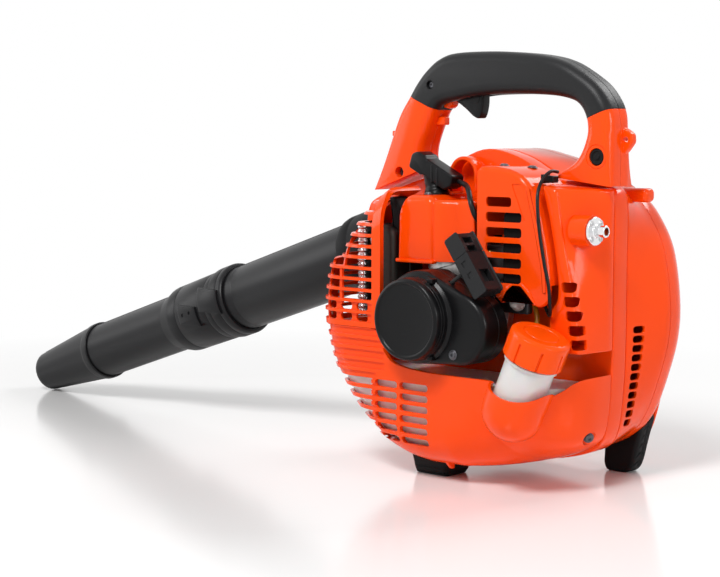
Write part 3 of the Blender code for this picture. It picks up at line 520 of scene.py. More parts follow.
class Graph:
    """A few short ways to add and wire the nodes of one tree."""

    def __init__(self, tree: bpy.types.NodeTree) -> None:
        """Wraps a node tree."""
        self.tree = tree

    def add(self, kind: str, wires: dict[str | int, object] | None = None, **settings: object) -> bpy.types.Node:
        """A new node with its settings.

        Args:
            kind: the node type without its ShaderNode prefix.
            wires: sockets to link and values to set, by input name or number.
            settings: the node's own properties.

        Returns:
            the node.
        """
        node = self.tree.nodes.new(f"ShaderNode{kind}")
        for key, value in settings.items():
            setattr(node, key, value)
        for key, value in (wires or {}).items():
            if isinstance(value, bpy.types.NodeSocket):
                self.tree.links.new(value, node.inputs[key])
            else:
                node.inputs[key].default_value = value
        return node

    def maths(self, operation: str, a: object, b: object = 0.0, clamp: bool = False) -> bpy.types.NodeSocket:
        """The result of one Math node."""
        return self.add("Math", {0: a, 1: b}, operation=operation, use_clamp=clamp).outputs[0]

    def noise(self, vector: object, scale: float, detail: float = 3.0, rough: float = 0.55) -> bpy.types.NodeSocket:
        """Noise, about 0 to 1."""
        wires = {"Vector": vector, "Scale": scale, "Detail": detail, "Roughness": rough}
        return self.add("TexNoise", wires).outputs["Fac"]

    def remap(self, value: object, low: float, high: float, to_low: float, to_high: float) -> bpy.types.NodeSocket:
        """A value carried from one range to another, and held inside it."""
        wires = {"Value": value, "From Min": low, "From Max": high, "To Min": to_low, "To Max": to_high}
        return self.add("MapRange", wires).outputs["Result"]

    def group(self, tree: bpy.types.NodeTree, wires: dict[str, object]) -> bpy.types.Node:
        """A node that uses a group.

        Args:
            tree: the group.
            wires: sockets to link and values to set, by input name.

        Returns:
            the node.
        """
        node = self.add("Group", node_tree=tree)
        for key, value in wires.items():
            if isinstance(value, bpy.types.NodeSocket):
                self.tree.links.new(value, node.inputs[key])
            else:
                node.inputs[key].default_value = value
        return node


def moulded_group() -> bpy.types.NodeTree:
    """The surface of a moulding: a slow drift of tone, fine grain and hairline scuffs.

    Colour is Base times a slow noise, scuffs pull it towards a paler tone; Roughness is its middle value plus the
    slow noise and the scuffs; Height is the grain minus the scuffs.

    Returns:
        the group.
    """
    tree = new_group(
        "moulded_surface",
        {"Vector": ("Vector", (0, 0, 0)), "Base": ("Color", (0.5, 0.5, 0.5, 1)), "Pale": ("Color", (0.7, 0.7, 0.7, 1)),
         "Roughness": ("Float", 0.4), "Grain Scale": ("Float", 900.0), "Scuffs": ("Float", 0.2),
         "Drift": ("Float", 0.06)},
        {"Color": "Color", "Roughness": "Float", "Height": "Float"})
    graph = Graph(tree)
    given, result = tree.nodes["Group Input"].outputs, tree.nodes["Group Output"]
    slow = graph.noise(given["Vector"], 14.0, 2.0)
    grain = graph.add("TexNoise", {"Vector": given["Vector"], "Scale": given["Grain Scale"], "Detail": 2.0}).outputs[0]
    stretched = graph.add("Mapping", {"Vector": given["Vector"], "Scale": (60, 60, 900), "Rotation": (0.5, 0.3, 0.9)})
    lines = graph.noise(stretched.outputs[0], 1.0, 4.0, 0.7)
    patches = graph.remap(graph.noise(given["Vector"], 32.0, 2.0), 0.5, 0.7, 0.0, 1.0)
    scuff = graph.maths("MULTIPLY", graph.remap(lines, 0.62, 0.72, 0.0, 1.0), patches)
    scuff = graph.maths("MULTIPLY", scuff, given["Scuffs"], clamp=True)
    drift = graph.maths("MULTIPLY", graph.maths("SUBTRACT", slow, 0.5), given["Drift"])
    tone = graph.maths("ADD", 1.0, graph.maths("MULTIPLY", drift, 2.0))
    toned = graph.add("VectorMath", {0: given["Base"], "Scale": tone}, operation="SCALE").outputs[0]
    mixed = graph.add("Mix", {0: scuff, 6: toned, 7: given["Pale"]}, data_type="RGBA").outputs[2]
    rough = graph.maths("ADD", given["Roughness"], graph.maths("ADD", drift, graph.maths("MULTIPLY", scuff, 0.25)))
    height = graph.maths("SUBTRACT", grain, graph.maths("MULTIPLY", scuff, 0.6))
    for socket, label in ((mixed, "Color"), (rough, "Roughness"), (height, "Height")):
        tree.links.new(socket, result.inputs[label])
    return tree


MOULDED = moulded_group()


@dataclass(frozen=True)
class Finish:
    """A moulded, cast or rubber surface. Colours are linear."""

    name: str
    colour: tuple[float, float, float]
    roughness: float
    pale: tuple[float, float, float] = (0.5, 0.5, 0.5)
    metallic: float = 0.0
    coat: float = 0.0
    grain: float = 900.0
    depth: float = 0.02
    scuffs: float = 0.15
    drift: float = 0.06
    edge: float = 0.0004
    specular: float = 0.5
    transmission: float = 0.0
    subsurface: float = 0.0

    def made(self) -> bpy.types.Material:
        """The material, made once.

        Returns:
            the material, new or found.
        """
        label = f"{self.name}_finish"
        found = bpy.data.materials.get(label)
        if found:
            return found
        material = bpy.data.materials.new(label)
        material.use_nodes = True
        graph = Graph(material.node_tree)
        shader = material.node_tree.nodes["Principled BSDF"]
        place = graph.add("TexCoord").outputs["Object"]
        surface = graph.group(MOULDED, {"Vector": place, "Base": (*self.colour, 1), "Pale": (*self.pale, 1),
                                        "Roughness": self.roughness, "Grain Scale": self.grain,
                                        "Scuffs": self.scuffs, "Drift": self.drift})
        soft_edge = graph.add("Bevel", {"Radius": self.edge}, samples=4).outputs[0]
        bump = graph.add("Bump", {"Height": self.relief(graph, place, surface.outputs["Height"]),
                                  "Normal": soft_edge, "Strength": self.depth * 10, "Distance": 0.0002})
        material.node_tree.links.new(self.tint(graph, place, surface.outputs["Color"]), shader.inputs["Base Color"])
        material.node_tree.links.new(surface.outputs["Roughness"], shader.inputs["Roughness"])
        material.node_tree.links.new(bump.outputs[0], shader.inputs["Normal"])
        shader.inputs["Metallic"].default_value = self.metallic
        shader.inputs["Coat Weight"].default_value = self.coat
        shader.inputs["Coat Roughness"].default_value = 0.08
        shader.inputs["Specular IOR Level"].default_value = self.specular
        shader.inputs["Transmission Weight"].default_value = self.transmission
        shader.inputs["Subsurface Weight"].default_value = self.subsurface
        shader.inputs["Subsurface Scale"].default_value = 0.01
        return material

    def relief(self, graph: Graph, place: bpy.types.NodeSocket, height: bpy.types.NodeSocket) -> bpy.types.NodeSocket:
        """The height that the bump reads; a finish with its own pattern adds it here."""
        return height

    def tint(self, graph: Graph, place: bpy.types.NodeSocket, colour: bpy.types.NodeSocket) -> bpy.types.NodeSocket:
        """The colour that the shader reads."""
        return colour


@dataclass(frozen=True)
class Brushed(Finish):
    """Metal with fine lines round or along it."""

    stretch: tuple[float, float, float] = (40.0, 40.0, 2500.0)

    def relief(self, graph: Graph, place: bpy.types.NodeSocket, height: bpy.types.NodeSocket) -> bpy.types.NodeSocket:
        """Adds noise that is stretched into lines."""
        lines = graph.add("Mapping", {"Vector": place, "Scale": self.stretch}).outputs[0]
        return graph.maths("ADD", height, graph.maths("MULTIPLY", graph.noise(lines, 1.0, 3.0), 0.8))


@dataclass(frozen=True)
class Cast(Finish):
    """Die-cast metal with a sandy skin and darker, oily hollows."""

    def tint(self, graph: Graph, place: bpy.types.NodeSocket, colour: bpy.types.NodeSocket) -> bpy.types.NodeSocket:
        """Darkens the colour in patches."""
        grime = graph.remap(graph.noise(place, 55.0, 4.0), 0.5, 0.75, 0.0, 0.55)
        return graph.add("Mix", {0: grime, 6: colour, 7: (0.08, 0.07, 0.06, 1)}, data_type="RGBA").outputs[2]


@dataclass(frozen=True)
class Braided(Finish):
    """A braided cord: two sets of crossing waves."""

    def relief(self, graph: Graph, place: bpy.types.NodeSocket, height: bpy.types.NodeSocket) -> bpy.types.NodeSocket:
        """Adds the product of two crossing waves.

        Args:
            graph: the material's graph.
            place: the texture coordinate.
            height: the relief so far.

        Returns:
            the new relief.
        """
        waves = []
        for turn in (0.8, -0.8):
            lines = graph.add("Mapping", {"Vector": place, "Rotation": (0, turn, 0), "Scale": (1, 1, 1)}).outputs[0]
            waves.append(graph.add("TexWave", {"Vector": lines, "Scale": 420.0}).outputs["Fac"])
        return graph.maths("ADD", height, graph.maths("MULTIPLY", waves[0], waves[1]))


class Finishes:
    """Every finish of the blower."""

    ORANGE = Finish("orange_shell", (0.93, 0.066, 0.0015), 0.13, (0.95, 0.22, 0.06), coat=0.10, grain=1400.0,
                    depth=0.006, scuffs=0.08, drift=0.05, edge=0.0006, specular=0.14)
    CAP = Finish("orange_cap", (0.93, 0.078, 0.0018), 0.22, (0.95, 0.24, 0.08), coat=0.04, grain=1200.0, depth=0.010,
                 scuffs=0.12, specular=0.13)
    BLACK = Finish("black_shell", (0.0045, 0.0045, 0.005), 0.28, (0.05, 0.05, 0.055), grain=1600.0,
                   depth=0.02, scuffs=0.25, specular=0.16)
    GRIP = Finish("grip_shell", (0.011, 0.0112, 0.012), 0.38, (0.07, 0.07, 0.075), grain=1500.0, depth=0.05,
                  scuffs=0.2, specular=0.2)
    TUBE = Finish("tube_shell", (0.008, 0.008, 0.009), 0.36, (0.06, 0.06, 0.065), grain=1300.0, depth=0.035,
                  scuffs=0.3, specular=0.2)
    RUBBER = Finish("black_rubber", (0.006, 0.006, 0.0065), 0.55, (0.06, 0.055, 0.05), grain=800.0, depth=0.06,
                    scuffs=0.35, specular=0.12)
    CORD_SHEATH = Finish("cord_sheath", (0.006, 0.006, 0.0065), 0.34, (0.05, 0.05, 0.05), grain=1500.0, depth=0.01,
                         specular=0.2)
    TANK = Finish("milky_tank", (0.95, 0.88, 0.87), 0.30, (0.95, 0.92, 0.90), grain=700.0, depth=0.02, scuffs=0.1,
                  transmission=0.35, subsurface=0.3)
    BULB = Finish("clear_bulb", (0.88, 0.84, 0.80), 0.2, (0.9, 0.9, 0.9), transmission=0.6, scuffs=0.05)
    AMBER = Finish("amber_hose", (0.80, 0.36, 0.02), 0.22, (0.9, 0.6, 0.2), transmission=0.4, scuffs=0.05)
    FOAM = Finish("foam_filter", (0.006, 0.006, 0.006), 0.9, (0.03, 0.03, 0.03), grain=350.0, depth=0.3, specular=0.1)
    ALUMINIUM = Cast("cast_aluminium", (0.62, 0.61, 0.60), 0.42, (0.8, 0.8, 0.8), metallic=1.0, grain=700.0, depth=0.05)
    DARK_CASTING = Cast("dark_casting", (0.05, 0.05, 0.052), 0.45, (0.2, 0.2, 0.2), metallic=0.7, grain=700.0,
                        depth=0.05)
    BRASS = Brushed("brass_fitting", (0.62, 0.40, 0.13), 0.3, (0.8, 0.7, 0.4), metallic=1.0)
    STEEL = Brushed("machined_steel", (0.56, 0.56, 0.57), 0.28, (0.7, 0.7, 0.7), metallic=1.0, depth=0.02)
    CHROME = Brushed("bright_metal", (0.80, 0.80, 0.81), 0.12, (0.9, 0.9, 0.9), metallic=1.0, depth=0.008, scuffs=0.1)
    MUFFLER = Brushed("muffler_steel", (0.05, 0.046, 0.042), 0.5, (0.5, 0.4, 0.3), metallic=1.0, depth=0.03)
    SPRING = Brushed("spring_steel", (0.20, 0.20, 0.21), 0.35, (0.4, 0.4, 0.4), metallic=1.0)
    DARK_SCREW = Brushed("dark_screw", (0.10, 0.10, 0.11), 0.35, (0.4, 0.4, 0.4), metallic=0.9)
    ROPE = Braided("starter_cord", (0.02, 0.02, 0.02), 0.75, (0.1, 0.1, 0.1), depth=0.4)


SLOT_FINISHES = {
    "orange_case": Finishes.ORANGE, "orange_cap": Finishes.CAP, "black_plastic": Finishes.BLACK,
    "dark_tube": Finishes.TUBE, "grip_plastic": Finishes.GRIP, "black_rubber": Finishes.RUBBER,
    "tank_plastic": Finishes.TANK, "clear_bulb": Finishes.BULB, "cast_aluminium": Finishes.ALUMINIUM,
    "steel_parts": Finishes.STEEL, "bright_spigot": Finishes.CHROME, "muffler_steel": Finishes.MUFFLER,
    "spring_steel": Finishes.SPRING, "fuel_hose": Finishes.AMBER, "foam_filter": Finishes.FOAM,
    "starter_cord": Finishes.ROPE, "spark_porcelain": Finishes.STEEL,
}


def dress_frame() -> None:
    """Gives every CAD node the detailed finish of its material slot."""
    for part in frame["record"]["subparts"]:
        node = frame["nodes"][part["node"]]
        node.data.materials.clear()
        node.data.materials.append(SLOT_FINISHES[part["material_slot"]].made())


def smooth(made: bpy.types.Object, angle: float = 34.0) -> bpy.types.Object:
    """Smooth shading, with edges sharper than the angle left sharp."""
    made.data.shade_smooth()
    made.data.set_sharp_from_angle(angle=math.radians(angle))
    return made


def settle(made: bpy.types.Object, finish: Finish, slot: str, *nodes: str, body: str = "blower",
           angle: float = 34.0) -> bpy.types.Object:
    """Finishes a piece: shading, material, the body it rides on, and the CAD nodes it stands for.

    Args:
        made: the piece, its mesh in place.
        finish: its surface.
        slot: the record's material slot.
        nodes: CAD nodes that it replaces.
        body: the CAD body that it moves with.
        angle: the angle above which its edges stay sharp.

    Returns:
        the piece itself.
    """
    smooth(made, angle)
    made.data.materials.clear()
    made.data.materials.append(finish.made())
    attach(made, body)
    if nodes:
        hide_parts(*nodes)
    log.info("%s: %d faces on %s", made.name, len(made.data.polygons), body)
    return made


# ------------------------------------------------------------------ places along the tilted axes

TUBE_SLOPE = math.radians(18.28)
TUBE_Y = 45.0
SOCKET = np.array((-228.0, TUBE_Y, 169.0))
TUBE_AXIS = np.array((math.cos(TUBE_SLOPE), 0.0, math.sin(TUBE_SLOPE)))
CYLINDER_AXIS = np.array((-math.sin(math.radians(15)), 0.0, math.cos(math.radians(15))))
CYLINDER_FOOT = np.array((0.0, -30.0, CRANK_Z))
NECK_AT = np.array((97.5, -70.0, 90.0))
NECK_AXIS = np.array((math.sin(math.radians(23)), 0.0, math.cos(math.radians(23))))


def on_tube(x: float) -> Array:
    """The point of the blow tube's axis at x."""
    return SOCKET + TUBE_AXIS * (x - SOCKET[0]) / TUBE_AXIS[0]


def tube_profile(stations: list[tuple[float, float]]) -> Array:
    """(x, radius) stations as a turned profile of (radius, height) from the socket."""
    return np.array([(radius, (x - SOCKET[0]) / TUBE_AXIS[0]) for x, radius in stations])


# ------------------------------------------------------------------ screws


@dataclass
class Screw:
    """A pan-head screw with a six-sided socket."""

    head: float = 3.6
    height: float = 2.2
    socket: float = 1.7

    def build(self, name: str, at: ArrayLike, axis: ArrayLike) -> bpy.types.Object:
        """The screw's head and washer: a turned profile, its top face sunk inside a hexagon.

        Args:
            name: the object's name.
            at: the middle of its seat.
            axis: the direction in which its head stands.

        Returns:
            the screw.
        """
        profile = rounded_profile([(0, 0), (self.head + 1.2, 0), (self.head + 1.2, 0.7), (self.head, 0.7),
                                   (self.head, self.height), (0, self.height)], 0.6)
        made = turned(name, profile, at, axis, 32)
        u, v, w = basis(axis)
        a = np.radians(np.arange(0, 360, 60))[:, None]
        ring = self.socket * (np.cos(a) * u + np.sin(a) * v)
        deep = np.asarray(at, float) + w * (self.height - 1.2)
        tool = skin(f"{name}_socket", np.array([deep + ring, deep + ring + 3 * w]))
        return shaped(made, Op.CUT, tool)

    def place(self, name: str, at: ArrayLike, axis: ArrayLike, finish: Finish = Finishes.DARK_SCREW,
              body: str = "blower") -> None:
        """Builds the screw and finishes it."""
        settle(self.build(name, at, axis), finish, "steel_parts", body=body)


# ------------------------------------------------------------------ studio


@dataclass
class Studio:
    """The camera, the pale floor, the soft lights and the white surround."""

    eye: tuple[float, float, float] = (989.6, -1262.0, 319.0)
    azimuth: float = 42.0
    pitch: float = 5.5
    lens: float = 89.5

    def build(self) -> None:
        """Makes the camera first, then the floor, the lights and the world."""
        self.camera()
        self.floor()
        self.lights()
        self.surround()

    def camera(self) -> None:
        """A camera at the eye, its right hand and view direction worked out from the azimuth and the pitch."""
        turn, dip = math.radians(self.azimuth), math.radians(self.pitch)
        ahead = Vector((-math.sin(turn) * math.cos(dip), math.cos(turn) * math.cos(dip), -math.sin(dip)))
        lens = bpy.data.cameras.new("camera")
        lens.lens, lens.sensor_width, lens.clip_end = self.lens, 36.0, 50.0
        camera = bpy.data.objects.new("camera", lens)
        camera.location = world(self.eye)
        camera.rotation_euler = ahead.to_track_quat("-Z", "Y").to_euler()
        bpy.context.scene.collection.objects.link(camera)
        bpy.context.scene.camera = camera

    def floor(self) -> None:
        """A large plane under the feet, glossy and pale, that fades into the white surround with distance."""
        half = 9000.0
        corners = [(-half, -half, 0), (half, -half, 0), (half, half, 0), (-half, half, 0)]
        plane = emit("floor", corners, [(0, 1, 2, 3)])
        material = bpy.data.materials.new("floor")
        material.use_nodes = True
        graph = Graph(material.node_tree)
        shader = material.node_tree.nodes["Principled BSDF"]
        shader.inputs["Base Color"].default_value = (0.93, 0.925, 0.92, 1)
        shader.inputs["Roughness"].default_value = 0.16
        place = graph.add("TexCoord").outputs["Object"]
        distance = graph.add("VectorMath", {0: place}, operation="LENGTH").outputs["Value"]
        away = graph.add("MapRange", {"Value": distance, "From Min": 0.42, "From Max": 0.9}).outputs["Result"]
        rays = graph.add("LightPath").outputs
        seen = graph.maths("MAXIMUM", graph.maths("MAXIMUM", rays["Is Camera Ray"], rays["Is Glossy Ray"]),
                           rays["Is Transmission Ray"])
        white = graph.add("Emission", {"Color": (1, 1, 1, 1), "Strength": 1.0}).outputs[0]
        both = graph.add("MixShader", {0: graph.maths("MULTIPLY", away, seen), 1: shader.outputs[0], 2: white})
        material.node_tree.links.new(both.outputs[0], material.node_tree.nodes["Material Output"].inputs["Surface"])
        plane.data.materials.append(material)

    def lights(self) -> None:
        """Four soft area lights that look at the fan case."""
        for name, at, size, power in (
            ("key", (250.0, -1350.0, 1700.0), 600.0, 34.0),
            ("fill", (-1500.0, -900.0, 700.0), 900.0, 8.0),
            ("side", (1600.0, -150.0, 650.0), 500.0, 7.0),
            ("back", (300.0, 1300.0, 1400.0), 700.0, 12.0),
        ):
            lamp = bpy.data.lights.new(name, "AREA")
            lamp.shape, lamp.size, lamp.energy = "SQUARE", size * MM, power
            holder = bpy.data.objects.new(name, lamp)
            holder.location = world(at)
            look = Vector(world((-60.0, 0.0, 170.0)) - world(at))
            holder.rotation_euler = look.to_track_quat("-Z", "Y").to_euler()
            bpy.context.scene.collection.objects.link(holder)

    def surround(self) -> None:
        """White to the camera, to reflections and through clear parts; a softer light elsewhere."""
        sky = bpy.data.worlds.new("surround")
        sky.use_nodes = True
        graph = Graph(sky.node_tree)
        background = sky.node_tree.nodes["Background"]
        rays = graph.add("LightPath").outputs
        seen = graph.maths("MAXIMUM", graph.maths("MAXIMUM", rays["Is Camera Ray"], rays["Is Glossy Ray"]),
                           rays["Is Transmission Ray"])
        strength = graph.remap(seen, 0.0, 1.0, 0.22, 1.0)
        sky.node_tree.links.new(strength, background.inputs["Strength"])
        background.inputs["Color"].default_value = (1, 1, 1, 1)
        bpy.context.scene.world = sky
        bpy.context.scene.view_settings.view_transform = "Standard"


# ------------------------------------------------------------------ fan case

LEFT_SIDE = [(0, 289.5), (-45, 270.5), (-90, 255.6), (-124, 243.5), (-136, 232), (-138.5, 200), (-136, 158),
             (-131, 113), (-115, 75), (-88, 43), (-48, 20.5), (0, 13.8)]
SQUARE_SIDE = [(60, 17.5), (102, 25), (126, 35), (136, 52), (140.5, 90), (142, 130), (142, 165), (142, 205),
               (142, 235), (138.5, 255), (120, 262), (76, 266.5), (38, 284)]
ROUND_SIDE = [(60, 18.5), (98, 27), (120, 40), (134, 58), (146, 88), (156, 124), (157.5, 160), (150, 205),
              (134, 235), (118, 251), (100, 263), (74, 273.5), (44, 283.5)]


def slots_along_x(name: str, places: list[tuple[float, float]], size: tuple[float, float], low: float,
                  high: float, radius: float = 1.6) -> bpy.types.Object:
    """Cutters for a column of slots that run along X, each place its lowest (y, z) corner and size its (dy, dz)."""
    return joined(name, [plate(f"{name}_{k}", slot_outline(y, z, y + size[0], z + size[1], radius), low, high,
                               way=Way.X) for k, (y, z) in enumerate(places)])


def slots_along_y(name: str, boxes: list[tuple[float, float, float, float]], low: float, high: float,
                  radius: float = 2.5) -> bpy.types.Object:
    """Cutters for slots that run along Y, each box its (x0, z0, x1, z1)."""
    return joined(name, [plate(f"{name}_{k}", slot_outline(*box, radius), low, high)
                         for k, box in enumerate(boxes)])


@dataclass
class FanCase:
    """The two halves round the fan, with the outlet, the rear slots and the guarded intake."""

    wall: float = 2.6
    split: float = 20.0
    far: float = 100.0
    edge: float = 28.0
    seam: float = 64.0
    intake: float = 60.0
    slots: int = 11

    def outline(self, roundness: float) -> Array:
        """The case's outline, between its square and its round rear edge."""
        square, rounded = np.array(SQUARE_SIDE, float), np.array(ROUND_SIDE, float)
        return smooth_loop(np.vstack([LEFT_SIDE, square + (rounded - square) * roundness]), 6)

    def rings(self, offset: float, near: float, far: float, radius: float, steps: int, groove: bool) -> Array:
        """Rings from near to far: the outline grows round over 40 mm, and its far edge is a quarter circle.

        Args:
            offset: how far inside the case's surface.
            near, far: the first and last depths.
            radius: of the far edge.
            steps: rings on the far edge.
            groove: cuts the seam between the halves.

        Returns:
            the rings, (m, n, 3).
        """
        depths = [near, near + 0.4, near + 0.9, near + 1.5, *np.linspace(near + 3, far - radius, 11),
                  *(far - radius * (1 - np.cos(np.radians(np.linspace(0, 90, steps)))))]
        if groove:
            depths += [self.seam - 0.5, self.seam - 0.2, self.seam + 0.2, self.seam + 0.5]
        rings = []
        for depth in np.unique(np.round(depths, 4)):
            amount = offset + float(rounding(far - depth, radius)) + float(rounding(depth - near, 1.5))
            amount += 0.8 * float(groove and abs(depth - self.seam) < 0.3)
            grown = self.outline(np.clip((depth - self.split) / 40, 0, 1))
            rings.append(placed(inset(grown, amount, FAN), depth, Way.Y))
        return np.array(rings)

    def outlet(self, name: str) -> bpy.types.Object:
        """The bore for the blow tube's socket."""
        return rod(name, on_tube(-60), on_tube(-170), 38.3, 64)

    def build(self) -> None:
        """Builds both halves and the intake guard."""
        self.inner_half()
        self.outer_half()
        self.guard()

    def inner_half(self) -> None:
        """The half towards the engine: a flat plate with a wall round it."""
        half = plate("case_inner_half", self.outline(0), 0, self.split, 1.6, 1.6, 5, FAN)
        hollow = plate("inner_hollow", inset(self.outline(0), self.wall, FAN), 3, self.split + 5)
        shaft = rod("shaft_hole", (0, -5, CRANK_Z), (0, 10, CRANK_Z), 20)
        shaped(half, Op.CUT, hollow, shaft, self.outlet("inner_outlet"))
        settle(half, Finishes.ORANGE, "orange_case", "fan_case_inner")

    def outer_half(self) -> None:
        """The bulged half with its rear slots, the boss above them and the skid's rim."""
        half = skin("case_outer_half", self.rings(0, self.split + GAP, self.far, self.edge, 12, True))
        boss = block("rear_boss", (112, 36, 245.5), (149.4, 50.5, 257.5), 4.4, Way.X)
        rim = plate("rear_rim", filleted([(98, 33), (108, 29), (116, 32.5), (121, 42), (125, 54), (129, 70),
                                          (134, 88), (110, 92), (95, 60)], 4), 94.6, 97.6, 1, 1, 3)
        shaped(half, Op.FUSE, boss, rim)
        room = skin("outer_hollow", self.rings(self.wall, self.split - 3, self.far - self.wall,
                                               self.edge - self.wall, 8, False))
        shaped(room, Op.FUSE, rod("intake_hole", (0, 85, CRANK_Z), (0, 110, CRANK_Z), self.intake, 96))
        openings = slots_along_x("rear_slots", [(26.5, z) for z in np.linspace(51.5, 133.5, self.slots)],
                                 (11.5, 6.2), 125, 170, 2.4)
        shaped(half, Op.CUT, room, self.outlet("outer_outlet"), openings)
        settle(half, Finishes.ORANGE, "orange_case", "fan_case_outer")

    def guard(self) -> None:
        """Rings and spokes over the intake, domed outwards: a turned wall cut by two rings of openings."""
        near, far = self.far + GAP, self.far + 3.3
        profile = [(69, 0), (62, 3.2), (54, 6.4), (46, 9.0), (0, 9.0), (0, 6.5), (44, 6.5), (52, 4.0), (60, 1.2),
                   (64, 0)]
        dome = turned("guard_dome", profile, (0, near, CRANK_Z), (0, 1, 0), 128)
        openings = []
        for count, low, high in ((32, 38, 57), (24, 24, 34), (16, 12, 20)):
            for k in range(count):
                start, end = (360.0 * (k + part) / count for part in (0.14, 0.86))
                shape = np.vstack([arc(FAN, low, end, start, 5), arc(FAN, high, start, end, 5)])
                openings.append(plate(f"guard_{low}_{k}", filleted(shape, 0.6, 3), near - 3, far + 12))
        shaped(dome, Op.CUT, joined("guard_openings", openings))
        settle(dome, Finishes.BLACK, "black_plastic", "intake_guard")
        for angle in (45, 135, 225, 315):
            x, z = arc(FAN, 65.5, angle, angle, 1)[0]
            Screw(2.6, 1.6, 1.2).place(f"guard_screw_{angle}", (x, near + 1.2, z), (0, 1, 0))


# ------------------------------------------------------------------ lower body and fuel system

RIM = [(-160, 131), (-58, 131), (-52, 124), (-47, 112), (-38, 103), (-20, 99), (5, 97.2), (72, 97), (80, 92.5),
       (94, 87), (108, 84), (120, 85), (129, 91), (135, 99), (160, 105.5), (160, 190), (-160, 190)]


def on_neck(distance: float) -> Array:
    """The point of the fuel neck's axis at a distance from its foot."""
    return NECK_AT + NECK_AXIS * distance


